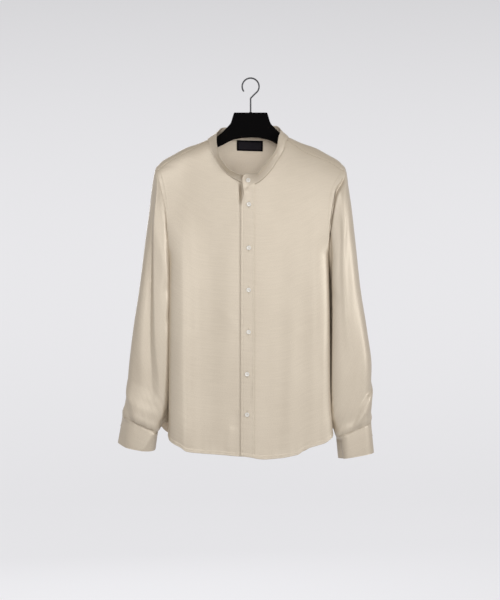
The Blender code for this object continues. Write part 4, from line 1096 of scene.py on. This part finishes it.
def body_cloth(grid, step=CLOTH_STEP):
    """A piece of the body, relaid both ways, that faces away from the body's middle."""
    return Cloth(relaid(relaid(grid, 0, step), 1), BODY_CENTRE)


def body_relief(cloth, top, side_ends):
    """Relief of a front or back: hem, upper seam, and the side seam that runs into the armhole."""
    relief = lapped(cloth.start, 0.0064, 0.0007) + 0.0005 * bump(cloth.start, 0.0008, 0.0010)
    relief += pucker(cloth.over, cloth.start, 0.00035, 0.019, 0.012)
    relief -= top * bump(cloth.end, 0.0, 0.0016)
    relief += pucker(cloth.over, cloth.end, 0.00018, 0.012, 0.008)
    above = smooth_step((cloth.grid[..., 2] - UNDERARM) / 0.010)
    for away in side_ends:
        relief += above * armhole_lap(away)
        relief += above * pucker(cloth.down, away, 0.00010, 0.014, 0.010)
        relief += (1 - above) * (0.0004 * bump(away, 0.0030, 0.0016)
                                 - 0.0004 * bump(away, 0, 0.0006))
        relief += (1 - above) * pucker(cloth.down, away, 0.00022, 0.017, 0.008)
    return relief


# The front's upper seam sinks deeper along the neckline, up to this far before its corner
NECK_SEAM_END, NECK_SEAM_FADE = 0.012, 0.010
for side, word in SIDES.items():
    cloth = body_cloth(fronts[side])
    neck = side * cloth.grid[..., 0] - NECK_CORNER[side] + NECK_SEAM_END
    neck = 1 - smooth_step(neck / NECK_SEAM_FADE)
    sewn(f"front_{word}", cloth, body_relief(cloth, 0.0005 + 0.0008 * neck, [cloth.last]))

# %% Back and yoke
cloth = body_cloth(back)
sewn("back", cloth, body_relief(cloth, 0.0004, [cloth.first, cloth.last]), node="back_panel")

cloth = body_cloth(yoke, 0.0028)
relief = lapped(cloth.start, 0.0060, 0.0004) + lapped(cloth.end, 0.0060, 0.0006)
for away in (cloth.first, cloth.last):
    relief += armhole_lap(away)
relief += pucker(cloth.over, cloth.start, 0.00015, 0.012, 0.006)
relief += pucker(cloth.over, cloth.end, 0.00020, 0.014, 0.008)
sewn("yoke", cloth, relief)

# %% Placket
PLACKET_WALL, PLACKET_GAP = 0.0008, 0.0001
cloth = body_cloth(fronts[LEFT][:, :PLACKET_COLUMNS + 1])
relief = np.full(cloth.grid.shape[:2], WALL / 2 + PLACKET_WALL / 2 + PLACKET_GAP)
relief -= (0.0004 * bump(cloth.first, STRIP_STITCH, 0.0008)
           + 0.0003 * bump(cloth.last, 0.0018, 0.0008))
relief += 0.0005 * bump(cloth.first, 0.0018, 0.0012) + 0.0004 * bump(cloth.last, 0.0036, 0.0010)
relief += pucker(cloth.down, cloth.first, 0.00022, 0.016, 0.010)
relief += (pucker(cloth.down, cloth.last, 0.00018, 0.013, 0.008)
           + lapped(cloth.start, 0.0064, 0.0006))
sewn("placket", cloth, relief, PLACKET_WALL)

# %% Band
BAND_WALL = 0.0014
TAB_LIFT, TAB_LENGTH = 0.0014, 0.020  # the tab stands off the front, and over what length
cloth = body_cloth(band_grid(fronts, yoke), 0.0020)
relief = -stitch_groove(cloth.start) - stitch_groove(cloth.end)
relief -= stitch_groove(cloth.first)
relief += pucker(cloth.over, cloth.start, 0.00022, 0.012, 0.006)
relief += TAB_LIFT * (1 - smooth_step(cloth.start / TAB_LENGTH))
sewn("band", cloth, relief, BAND_WALL, "collar_band")

# %% Sleeves
# The left sleeve's head has a valley beside the armhole: its depth, middle and width, and the
# angles from the outer edge at which it starts and ends, each with the angle it takes
HEAD_VALLEY = (0.0064, 0.0066, 0.0050)
VALLEY_START, VALLEY_END = (24, 26), (185, 25)
BLOUSE = (0.0022, 0.0100, 0.0090)  # the cloth bulges over the cuff: height, middle and width
for side, word in SIDES.items():
    grid = relaid(sleeves[side], 0)
    cloth = Cloth(grid, grid[:, :RING].mean(axis=1)[:, None], closed=True)
    ring = np.linspace(0, 360, RING + 1)[None, :]
    relief = -0.0005 * bump(cloth.start, 0.0, 0.0014)
    relief += pucker(cloth.over, cloth.start, 0.00025, 0.016, 0.018)
    relief += (pucker(cloth.over, cloth.end, 0.0006, 0.021, 0.022)
               - 0.0008 * bump(cloth.end, 0, 0.0016))
    relief += BLOUSE[0] * bump(cloth.end, *BLOUSE[1:])
    if side == LEFT:
        window = smooth_step((ring - VALLEY_START[0]) / VALLEY_START[1])
        window = window * smooth_step((VALLEY_END[0] - ring) / VALLEY_END[1])
        relief -= HEAD_VALLEY[0] * bump(cloth.start, *HEAD_VALLEY[1:]) * window
    # Ripples down the sleeve's inner edge, above the cuff
    around = np.abs(ring - 180)
    near_cuff = smooth_step((0.16 - cloth.end) / 0.10)
    relief += near_cuff * pucker(cloth.down, around * 0.0004, 0.0020, 0.020, 0.010)
    sewn(f"sleeve_{word}", cloth, relief)

# %% Cuffs
CUFF_WALL = 0.0016
# A pressed ridge down each cuff: its angle at the top and at the lower edge, and its height
CUFF_PRESS = {RIGHT: (139, 105, 0.0036), LEFT: (112, 118, 0.0012)}
PRESS_WIDTH = 9  # in degrees to each side
# A flat pressed face down a cuff: its angle, its depth and its width in degrees
CUFF_FACE = {RIGHT: (28, 0.0050, 22), LEFT: (151, 0.0090, 18)}
for side, word in SIDES.items():
    grid = relaid(relaid(cuffs[side], 0, step=0.0026), 1)
    cloth = Cloth(grid, grid.mean(axis=1)[:, None])
    ring = (CUFF_OPENING + 360 * cloth.over / cloth.over[:, -1:] * (1 + CUFF_OVERLAP / RING)) % 360
    part = cloth.start / (cloth.start + cloth.end)
    high, low, rise = CUFF_PRESS[side]
    away = np.abs(ring - high - (low - high) * part)
    ridge = rise * np.exp(-away / PRESS_WIDTH)
    relief = ridge * smooth_step(part * 6) * smooth_step((1.1 - part) * 6)
    middle, depth, width = CUFF_FACE[side]
    relief -= depth * bump(ring, middle, width) * smooth_step(cloth.start / 0.010)
    for edge in (cloth.start, cloth.end, cloth.first, cloth.last):
        relief -= stitch_groove(edge)
    relief += 0.0004 * bump(cloth.start, 0.0006, 0.0010)
    relief += pucker(cloth.over, cloth.start, 0.0003, 0.013, 0.006)
    relief += pucker(cloth.over, cloth.end, 0.0002, 0.015, 0.006)
    sewn(f"cuff_{word}", cloth, relief, CUFF_WALL)

# %% [markdown]
# ## Stitches
# A topstitch is a row of short thread bars that sink a little into the cloth. Each one is a small
# stretched icosphere, which is enough at this size, and every row follows a line of its cloth.

# %% Stitch rows
STITCH_PITCH = 0.0030
STITCH_SIZE = (0.0023, 0.00042, 0.00034)


def bar_bmesh(bars):
    """A bmesh of small stretched bars, each given by its middle, direction, outward way, size."""
    bm = bmesh.new()
    for middle, along, out, size in bars:
        along = along / np.linalg.norm(along)
        across = np.cross(out, along)
        across /= np.linalg.norm(across)
        up = np.cross(along, across)
        turn = Matrix((along * size[0] / 2, across * size[1] / 2, up * size[2] / 2)).transposed()
        turn = Matrix.Translation(Vector(middle)) @ turn.to_4x4()
        bmesh.ops.create_icosphere(bm, subdivisions=1, radius=1.0, matrix=turn)
    return bm


def stitch_bars(points, walls, lift):
    """Bars along a line of points, a pitch apart, lifted off the cloth's middle."""
    along = reach(points[:, None], 0)[:, 0]
    count = int(along[-1] / STITCH_PITCH)
    places = (np.arange(count) + 0.5) * along[-1] / count
    ends = []
    for shift in (-0.4, 0.4):
        at = places + shift * STITCH_PITCH
        ends.append(np.stack([np.interp(at, along, points[:, part]) for part in range(3)], axis=-1))
    out = np.stack([np.interp(places, along, walls[:, part]) for part in range(3)], axis=-1)
    return [((low + high) / 2 + way * lift, high - low, way, STITCH_SIZE)
            for low, high, way in zip(*ends, out)]


def stitched(name, rows, wall=WALL):
    """One piece for all the stitch rows of a sewn piece."""
    bars = [bar for points, walls in rows for bar in stitch_bars(points, walls, wall / 2)]
    made = add_piece(name, bar_bmesh(bars), [thread])
    made.data.shade_smooth()
    print(name, len(made.data.polygons))


# %% Topstitched pieces
# Each row of stitches: its distance from a border, the border, and the share of it that it covers
neck_share = SHOULDER_COLUMNS / (2 * SHOULDER_COLUMNS + BACK_NECK_COLUMNS)
CUFF_LINES = [(EDGE_STITCH, border, 0.02, 0.98) for border in ("start", "end", "last")]
TOPSTITCH = (
    ("hem_stitches_front_right", "front_right", WALL, [(HEM_STITCH, "start")]),
    ("hem_stitches_front_left", "front_left", WALL, [(HEM_STITCH, "start")]),
    ("hem_stitches_back", "back", WALL, [(HEM_STITCH, "start")]),
    ("placket_stitches", "placket", PLACKET_WALL,
     [(STRIP_STITCH, "first", 0.01, 0.99), (SEAM_STITCH, "last", 0.01, 0.99)]),
    ("yoke_stitches", "yoke", WALL,
     [(SEAM_STITCH, "start", 0.01, neck_share), (SEAM_STITCH, "start", 1 - neck_share, 0.99),
      (SEAM_STITCH, "end", 0.01, 0.99)]),
    ("band_stitches", "band", BAND_WALL,
     [(EDGE_STITCH, "start", 0.01, 0.96), (EDGE_STITCH, "end", 0.02, 0.96)]),
    ("cuff_stitches_right", "cuff_right", CUFF_WALL, CUFF_LINES),
    ("cuff_stitches_left", "cuff_left", CUFF_WALL, CUFF_LINES),
)
for name, sewn_piece, wall, lines in TOPSTITCH:
    stitched(name, [cloths[sewn_piece].line(*line) for line in lines], wall)


# %% Armhole stitches
# These run on the body, a little inside the armhole, over the front, the yoke and the back.
def armhole_rows(side):
    """The three stretches of the armhole's topstitch on one side of the body."""
    edge = {RIGHT: "first", LEFT: "last"}[side]
    rows = []
    for name, border in ((f"front_{SIDES[side]}", "last"), ("back", edge), ("yoke", edge)):
        points, walls = cloths[name].line(ARMHOLE_STITCH, border)
        keep = points[:, 2] > UNDERARM + 0.004
        rows.append((points[keep], walls[keep]))
    return rows


for side, word in SIDES.items():
    stitched(f"armhole_stitches_{word}", armhole_rows(side))

# %% [markdown]
# ## Neck label
# A woven label is sewn inside the back of the yoke. It is a small cloth of its own: dark, with a
# darker border and nothing on it. Its points are read off the yoke's inner face.

# %% Label
LABEL_HALF_WIDTH = 0.0302
LABEL_MIDDLE = -0.0018
LABEL_TOP, LABEL_LOW = -0.1392, -0.1630
LABEL_TILT = -0.028
LABEL_ROWS, LABEL_COLUMNS = 28, 60
LABEL_BORDER, LABEL_WALL, LABEL_GAP = 0.0038, 0.0006, 0.0009


def label_grid():
    """Points of the label on the yoke's inner face, a rectangle as seen from the front."""
    bare = Cloth(yoke[:, SHOULDER_COLUMNS + 8:-SHOULDER_COLUMNS - 8], BODY_CENTRE)
    inner = bare.grid - bare.normals * (WALL / 2 + LABEL_GAP)
    laid = np.zeros((LABEL_ROWS, LABEL_COLUMNS, 3))
    across = LABEL_MIDDLE + LABEL_HALF_WIDTH * np.linspace(-1, 1, LABEL_COLUMNS)
    for row, height in enumerate(np.linspace(LABEL_TOP, LABEL_LOW, LABEL_ROWS)):
        line = np.array([[np.interp(-height, -inner[:, column, 2], inner[:, column, part])
                          for part in range(2)] for column in range(inner.shape[1])])
        laid[row, :, 0] = across
        laid[row, :, 1] = np.interp(across, line[:, 0], line[:, 1])
        laid[row, :, 2] = height + LABEL_TILT * (across - LABEL_MIDDLE)
    return laid


cloth = Cloth(label_grid(), BODY_CENTRE)
edge = np.minimum(np.minimum(cloth.first, cloth.last), np.minimum(cloth.start, cloth.end))
cloth.lift(-0.0005 * smooth_step(edge / 0.006) - 0.0002 * bump(edge, 0.0, 0.0008))
label = cloth_piece("woven_label", cloth, ["neck_label"], LABEL_WALL,
                    (label_weave, label_weave, label_edge))
for face in label.data.polygons:
    side_gap = LABEL_HALF_WIDTH - abs(face.center.x - LABEL_MIDDLE)
    row_gap = np.linalg.norm(cloth.grid[[0, -1]] - np.array(face.center), axis=2).min()
    if min(side_gap, row_gap) < LABEL_BORDER:
        face.material_index = 2

# %% [markdown]
# ## Buttons
# Each button is turned from shell: a flat disc with a raised rim, a shallow well and four holes,
# sewn on with two bars of thread. The rim is spun from its profile, and the well is a face with
# holes left in it, closed below with the same face.

# %% Button shape
BUTTON_SIDES = 32
WELL_RADIUS, WELL_HEIGHT, HOLE_RADIUS, HOLE_REACH = 0.0031, 0.0015, 0.00055, 0.00105
HOLE_CORNERS = ((1, 1), (-1, 1), (-1, -1), (1, -1))
# The rim's section from the well over the top to the underside: radius and height
RIM_PROFILE = ((WELL_RADIUS, WELL_HEIGHT), (0.0034, 0.00155), (0.0038, 0.0021), (0.0042, 0.00245),
               (0.0046, 0.0025), (0.0050, 0.0022), (0.0052, 0.0016), (0.0052, 0.0010),
               (0.0049, 0.0004), (0.0043, 0.0001), (WELL_RADIUS, 0.0))


def edges_at(verts):
    """The edges that meet some vertices, each once and in their order."""
    return list(dict.fromkeys(edge for vert in verts for edge in vert.link_edges))


def button_bmesh():
    """A four-hole button standing on Z = 0."""
    bm = bmesh.new()
    # The faces with holes come before the rim, so that every run fills them alike
    rings = {}
    for height in (WELL_HEIGHT, 0.0):
        outline = bmesh.ops.create_circle(bm, segments=BUTTON_SIDES, radius=WELL_RADIUS,
                                          matrix=Matrix.Translation((0, 0, height)))["verts"]
        for x, y in HOLE_CORNERS:
            place = Matrix.Translation((x * HOLE_REACH, y * HOLE_REACH, height))
            ring = bmesh.ops.create_circle(bm, segments=12, radius=HOLE_RADIUS,
                                           matrix=place)["verts"]
            rings[x, y, height] = edges_at(ring)
            outline = outline + ring
        bmesh.ops.triangle_fill(bm, edges=edges_at(outline), use_beauty=True)
    for x, y in HOLE_CORNERS:
        bmesh.ops.bridge_loops(bm, edges=rings[x, y, WELL_HEIGHT] + rings[x, y, 0.0])
    profile = [bm.verts.new((radius, 0, height)) for radius, height in RIM_PROFILE]
    edges = [bm.edges.new(pair) for pair in zip(profile, profile[1:])]
    bmesh.ops.spin(bm, geom=profile + edges, cent=(0, 0, 0), axis=(0, 0, 1), angle=2 * math.pi,
                   steps=BUTTON_SIDES, use_merge=True)
    bmesh.ops.remove_doubles(bm, verts=bm.verts, dist=2e-6)
    bmesh.ops.recalc_face_normals(bm, faces=bm.faces)
    return bm


STRAND_STEP, STRAND_HEIGHT = 0.0002, 0.00022
STRAND_SIZE = (2 * HOLE_REACH + 0.0006, 0.00028, 0.0006)


def button_thread(turn):
    """Two bars of thread over the well, each of three strands."""
    bars = []
    for x in (-HOLE_REACH, HOLE_REACH):
        for shift in (-STRAND_STEP, 0.0, STRAND_STEP):
            bars.append((np.array([x + shift, 0, WELL_HEIGHT + STRAND_HEIGHT]),
                         np.array([0.0, 1.0, 0.0]), np.array([0.0, 0.0, 1.0]), STRAND_SIZE))
    bm = bar_bmesh(bars)
    bmesh.ops.transform(bm, matrix=turn, verts=bm.verts)
    return bm


def nearest_point(cloth, x, z, columns):
    """The point of a cloth nearest a place seen from the front, and its outward direction."""
    misses = np.hypot(cloth.grid[..., 0] - x, cloth.grid[..., 2] - z)[:, :columns]
    place = np.unravel_index(np.argmin(misses), misses.shape)
    return cloth.grid[place], cloth.normals[place]


def sew_button(name, seat, outward, upward, node):
    """A button and its thread, standing on the cloth with its holes square to upward."""
    out = Vector(outward).normalized()
    side = Vector(upward).cross(out).normalized()
    turn = Matrix((side, out.cross(side), out)).transposed().to_4x4()
    turn = Matrix.Translation(Vector(seat)) @ turn
    bm = button_bmesh()
    bmesh.ops.transform(bm, matrix=turn, verts=bm.verts)
    shade_by_angle(add_piece(name, bm, [pearl], [node]).data, 35)
    shade_by_angle(add_piece(f"{name}_thread", button_thread(turn), [thread]).data)


# %% Front buttons
TAB_COLUMNS = 40  # the first button is sought in these columns, on the lap's outer layer
BUTTON_GAP = 0.0003
# The way a buttonhole runs, upright down the strip and nearly level on the tab
UPRIGHT, TAB_HOLE = np.array([0.0, 0.0, 1.0]), np.array([1.0, 0.25, 0.0])
# X and Z of each button from the top down, the first on the band's tab
BUTTONS = ((-0.0068, -0.2359), (-0.0048, -0.2927), (-0.0055, -0.3897), (-0.0062, -0.4857),
           (-0.0057, -0.5801), (-0.0064, -0.6759), (-0.0082, -0.7690))
button_seats = []
for number, (x, z) in enumerate(BUTTONS, start=1):
    cloth, columns, wall, along = cloths["placket"], None, PLACKET_WALL, UPRIGHT
    if number == 1:
        cloth, columns, wall, along = cloths["band"], TAB_COLUMNS, BAND_WALL, TAB_HOLE
    point, outward = nearest_point(cloth, x, z, columns)
    # No two buttons are sewn on at quite the same turn
    tilt = math.radians(3 * ((number * 37) % 11 - 5))
    sew_button(f"pearl_button_{number}", point + outward * (wall / 2 + BUTTON_GAP), outward,
               (math.sin(tilt), 0, math.cos(tilt)), f"button_{number}")
    button_seats.append((point, outward, along, wall))
print(len(button_seats), "front buttons")

# %% Cuff buttons
CUFF_BUTTON = 0.0095  # its distance from the cuff's outer end
for word in SIDES.values():
    cloth = cloths[f"cuff_{word}"]
    column = np.argmin(np.abs(cloth.last.mean(axis=0) - CUFF_BUTTON))
    row = np.argmin(np.abs(cloth.start[:, column] - cloth.end[:, column]))
    point, outward = cloth.grid[row, column], cloth.normals[row, column]
    sew_button(f"pearl_cuff_button_{word}", point + outward * (CUFF_WALL / 2 + BUTTON_GAP), outward,
               UPRIGHT, f"cuff_button_{word}")
    button_seats.append((point, outward, np.cross(outward, UPRIGHT), CUFF_WALL))
print("two cuff buttons")

# %% [markdown]
# ## Buttonholes
# A buttonhole is a slit bound with close thread bars on both sides and a short bar at each end.
# Down the strip they are upright, and on the band and the cuffs they lie level.

# %% Buttonhole bars
# Length of the slit, then length and spacing of the thread bars, and their width and height
HOLE_LENGTH, HOLE_BAR, HOLE_PITCH = 0.0145, 0.0013, 0.00042
BAR_SIZE, END_BAR_SIZE = (HOLE_BAR, 0.00050, 0.00045), (2.3 * HOLE_BAR, 0.00055, 0.00050)
# The bars' height over the cloth, half the slit's width, and where the two end bars stand
BAR_GAP, SLIT_HALF, END_GAP, END_STEP = 0.0001, 0.00012, 0.0004, 0.0005


def buttonhole_bars(point, outward, along, wall):
    """Thread bars round one slit."""
    out = np.array(outward) / np.linalg.norm(outward)
    along = along - out * np.dot(along, out)
    along = along / np.linalg.norm(along)
    across = np.cross(out, along)
    base = point + out * (wall / 2 + BAR_GAP)
    bars = []
    count = round(HOLE_LENGTH / HOLE_PITCH)
    for place in np.linspace(-0.5, 0.5, count):
        for side in (-1, 1):
            middle = base + along * place * HOLE_LENGTH
            middle = middle + across * side * (HOLE_BAR / 2 + SLIT_HALF)
            bars.append((middle, across, out, BAR_SIZE))
    for end in (-1, 1):
        for shift in (0.0, END_STEP):
            middle = base + along * end * (HOLE_LENGTH / 2 + END_GAP + shift)
            bars.append((middle, across, out, END_BAR_SIZE))
    return bars


bars = [bar for seat in button_seats for bar in buttonhole_bars(*seat)]
holes = add_piece("buttonholes", bar_bmesh(bars), [thread])
holes.data.shade_smooth()
print("buttonhole bars", len(bars))

# %% [markdown]
# ## Hanger and hook
# The hanger is a flat plate with a straight top, concave shoulders and two long arms inside the
# shirt. Its outline is read from a table, and a Bevel modifier rounds its edges. The hook is one
# bent wire: a curve with a round bevel, turned into a mesh.

# %% Hanger
# Half its thickness, how much thicker that is at the ends, and the radius of its edges
HANGER_HALF, HANGER_FLARE, HANGER_ROUND = 0.0060, 0.0030, 0.0022
# Its top and lower edge by the distance from the middle
HANGER = Table(
    "out top bottom", (0.000, -0.0780, -0.1342), (0.020, -0.0780, -0.1352),
    (0.0375, -0.0780, -0.1390), (0.0400, -0.0840, -0.1398), (0.0455, -0.1015, -0.1420),
    (0.0530, -0.1110, -0.1455), (0.0612, -0.1190, -0.1500), (0.0683, -0.1262, -0.1535),
    (0.0773, -0.1335, -0.1577), (0.0835, -0.1385, -0.1610), (0.0900, -0.1440, -0.1645),
    (0.0970, -0.1495, -0.1680), (0.120, -0.1605, -0.1780), (0.150, -0.1710, -0.1885),
    (0.175, -0.1835, -0.1985), (0.193, -0.1955, -0.2065), (0.200, -0.2015, -0.2075))


def hanger_points(x, face, part):
    """Points of the plate's front or back face, from its top edge down."""
    out = np.abs(x)
    top, bottom = HANGER.read("top", out), HANGER.read("bottom", out)
    thick = HANGER_HALF + HANGER_FLARE * smooth_step(out / HANGER.at[-1])
    return np.stack([x, face * thick, top + (bottom - top) * part], axis=-1)


half = np.unique(np.concatenate([HANGER.at, np.linspace(0.0385, 0.1, 36),
                                 np.linspace(0.1, 0.2, 24)]))
out = np.concatenate([-half[:0:-1], half])
rows = np.linspace(0, 1, 5)
bm = bmesh.new()
bmesh.ops.create_grid(bm, x_segments=len(out) - 1, y_segments=len(rows) - 1, size=0.5)
copied = bmesh.ops.extrude_face_region(bm, geom=bm.faces[:], use_keep_orig=True)
lifted = [item for item in copied["geom"] if isinstance(item, bmesh.types.BMVert)]
bmesh.ops.translate(bm, verts=lifted, vec=(0, 0, 1))
for vert in bm.verts:
    x = out[round((vert.co.x + 0.5) * (len(out) - 1))]
    part = rows[round((0.5 - vert.co.y) * (len(rows) - 1))]
    vert.co = hanger_points(x, -1 if vert.co.z > 0.5 else 1, part)
bmesh.ops.recalc_face_normals(bm, faces=bm.faces)
hanger = add_piece("flat_hanger", bm, [hanger_black], ["hanger_body"])
hanger.data.shade_smooth()
soften(hanger, "rounding", HANGER_ROUND, 5, 50)
print("hanger", len(hanger.data.polygons))

# %% Hook
# Radius of the wire, of the bend's middle line, and the height at which the straight stem ends
HOOK_WIRE, HOOK_RADIUS, HOOK_STEM_TOP = 0.0018, 0.0194, -0.0455


def hook_line():
    """The wire's middle line: stem, slanted neck and round bend over the seat."""
    corners = [(0.0, -0.0779), (0.0, -0.0700), (0.0, -0.0600), (0.0, -0.0500), (0.0, HOOK_STEM_TOP),
               (0.0016, -0.0430), (0.0048, -0.0397), (0.0080, -0.0363)]
    middle = HOOK_WIRE - HOOK_RADIUS
    for angle in range(-32, 217, 8):
        turn = math.radians(angle)
        corners.append((HOOK_RADIUS * math.cos(turn), middle + HOOK_RADIUS * math.sin(turn)))
    return corners


curve = bpy.data.curves.new("hook_line", "CURVE")
curve.dimensions = "3D"
curve.bevel_depth = HOOK_WIRE
curve.bevel_resolution = 5
curve.use_fill_caps = True
spline = curve.splines.new("BEZIER")
corners = hook_line()
spline.bezier_points.add(len(corners) - 1)
for place, (x, z) in zip(spline.bezier_points, corners):
    place.co = (x, 0.0, z)
    place.handle_left_type = place.handle_right_type = "AUTO"
spline.resolution_u = 4
line_object = bpy.data.objects.new("hook_line", curve)
mesh = bpy.data.meshes.new_from_object(line_object)
bm = bmesh.new()
bm.from_mesh(mesh)
bpy.data.objects.remove(line_object)
bpy.data.meshes.remove(mesh)
bmesh.ops.remove_doubles(bm, verts=bm.verts, dist=1e-6)
# A small collar where the wire enters the hanger
bmesh.ops.create_cone(bm, cap_ends=True, segments=32, radius1=0.0036, radius2=0.0030,
                      depth=0.0016, matrix=Matrix.Translation((0, 0, -0.0771)))
wire = add_piece("wire_hook", bm, [hook_wire], ["hanger_hook"])
shade_by_angle(wire.data)
print("hook", len(wire.data.polygons))

# %% [markdown]
# ## Floor, light and camera
# The studio is plain: a pale floor that curves up into a pale wall far off all round. A soft key
# light stands in front, a little to the right, a smaller one further right rakes over the folds,
# a third fills from above on the left, and a fourth lights the back. The world's light is warm.

# %% Studio
# The paper glows with painted light, as bright as a lit wall, and that glow is painted dimmer away
# from the shirt's height, as a wall's light falls off.
# Diffuse rays pass it by, so that this glow doesn't flatten the folds.
# Height of the floor, distance of the wall, and radius of the curve between them
FLOOR, WALL_AT, COVE = -1.75, 7.0, 2.0
# Strength of the glow, its brightest height below the origin, and how fast and how far it dims
GLOW, GLOW_MIDDLE, DIM_RATE, DIM_MOST = 0.74, 0.45, 0.20, 0.22
paper = Finish("studio_paper", Roughness=0.9, Emission_Strength=GLOW)
height = paper.node("ShaderNodeSeparateXYZ", {}, {"Vector": paper.place("OBJECT", (1, 1, 1))}, 2)
# Painted falloff of the wall's light: the glow is darker away from the shirt's height
away = (height + GLOW_MIDDLE) * DIM_RATE
painted_falloff = away.maths("MINIMUM", away * away, DIM_MOST)
cloud = paper.noise("OBJECT", (0.4, 0.4, 0.4), 1.0)
paper.feed("Base Color", paper.mix(cloud, (0.15, 0.15, 0.16, 1), (0.18, 0.18, 0.19, 1)))
paper.feed("Emission Color", paper.mix(painted_falloff + 0.04 * cloud, (1.0, 1.0, 1.03, 1), (0.0, 0.0, 0.0, 1)))
bm = bmesh.new()
cove = [(WALL_AT - COVE + COVE * math.sin(t), FLOOR + COVE - COVE * math.cos(t))
        for t in np.linspace(0.1, math.pi / 2, 14)]
profile = [bm.verts.new((x, 0, z)) for x, z in
           [(0.001, FLOOR), (2.0, FLOOR), (4.5, FLOOR), *cove, (WALL_AT, 2.0), (WALL_AT, 6.0)]]
edges = [bm.edges.new(pair) for pair in zip(profile, profile[1:])]
bmesh.ops.spin(bm, geom=profile + edges, cent=(0, 0, 0), axis=(0, 0, 1), angle=2 * math.pi, steps=96,
               use_merge=True)
bmesh.ops.recalc_face_normals(bm, faces=bm.faces)
bmesh.ops.reverse_faces(bm, faces=bm.faces)
floor = add_object("studio_floor", bm, [paper.material])
floor.data.shade_smooth()
floor.visible_diffuse = False
floor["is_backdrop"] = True
print("studio floor", len(floor.data.polygons))

# %% Lights
world = bpy.data.worlds.new("studio_air")
bpy.context.scene.world = world
world.use_nodes = True
air = world.node_tree.nodes["Background"].inputs
air["Color"].default_value = (1.0, 0.92, 0.84, 1)
air["Strength"].default_value = 0.33
bpy.context.scene.view_settings.view_transform = "Standard"

SHIRT_MIDDLE = Vector((0, 0, -0.45))
# Each lamp's name, place, power and size
LAMPS = (
    ("key", (0.7, -4.4, 0.00), 32, 1.8),
    ("side_light", (2.7, -2.3, 0.10), 36, 1.0),
    ("fill", (-1.6, -2.8, 1.4), 34, 1.8),
    ("back_light", (-0.6, 3.2, 0.3), 34, 1.8),
)
for name, place, power, size in LAMPS:
    light = bpy.data.lights.new(name, "AREA")
    light.energy = power
    light.size = size
    lamp = bpy.data.objects.new(name, light)
    lamp.location = place
    lamp.rotation_euler = (SHIRT_MIDDLE - Vector(place)).to_track_quat("-Z", "Y").to_euler()
    lamp.visible_camera = False
    bpy.context.scene.collection.objects.link(lamp)
print("lamps", len(LAMPS))

# %% Camera
camera = bpy.data.cameras.new("camera")
camera.lens = 85
camera.sensor_width = 36
camera.clip_end = 60
view = bpy.data.objects.new("camera", camera)
view.location = (-0.0014, -3.26, -0.5088)
view.rotation_euler = (math.pi / 2, 0, 0)
bpy.context.scene.collection.objects.link(view)
bpy.context.scene.camera = view
print("camera", camera.lens, "mm at", [round(v, 3) for v in view.location])

# %% [markdown]
# ## The scene's box
# The box round every piece that renders, the studio's floor left out, is printed.

# %% Finish
low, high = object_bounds()
print("visual box", [round(v, 4) for v in (*low, *high)])
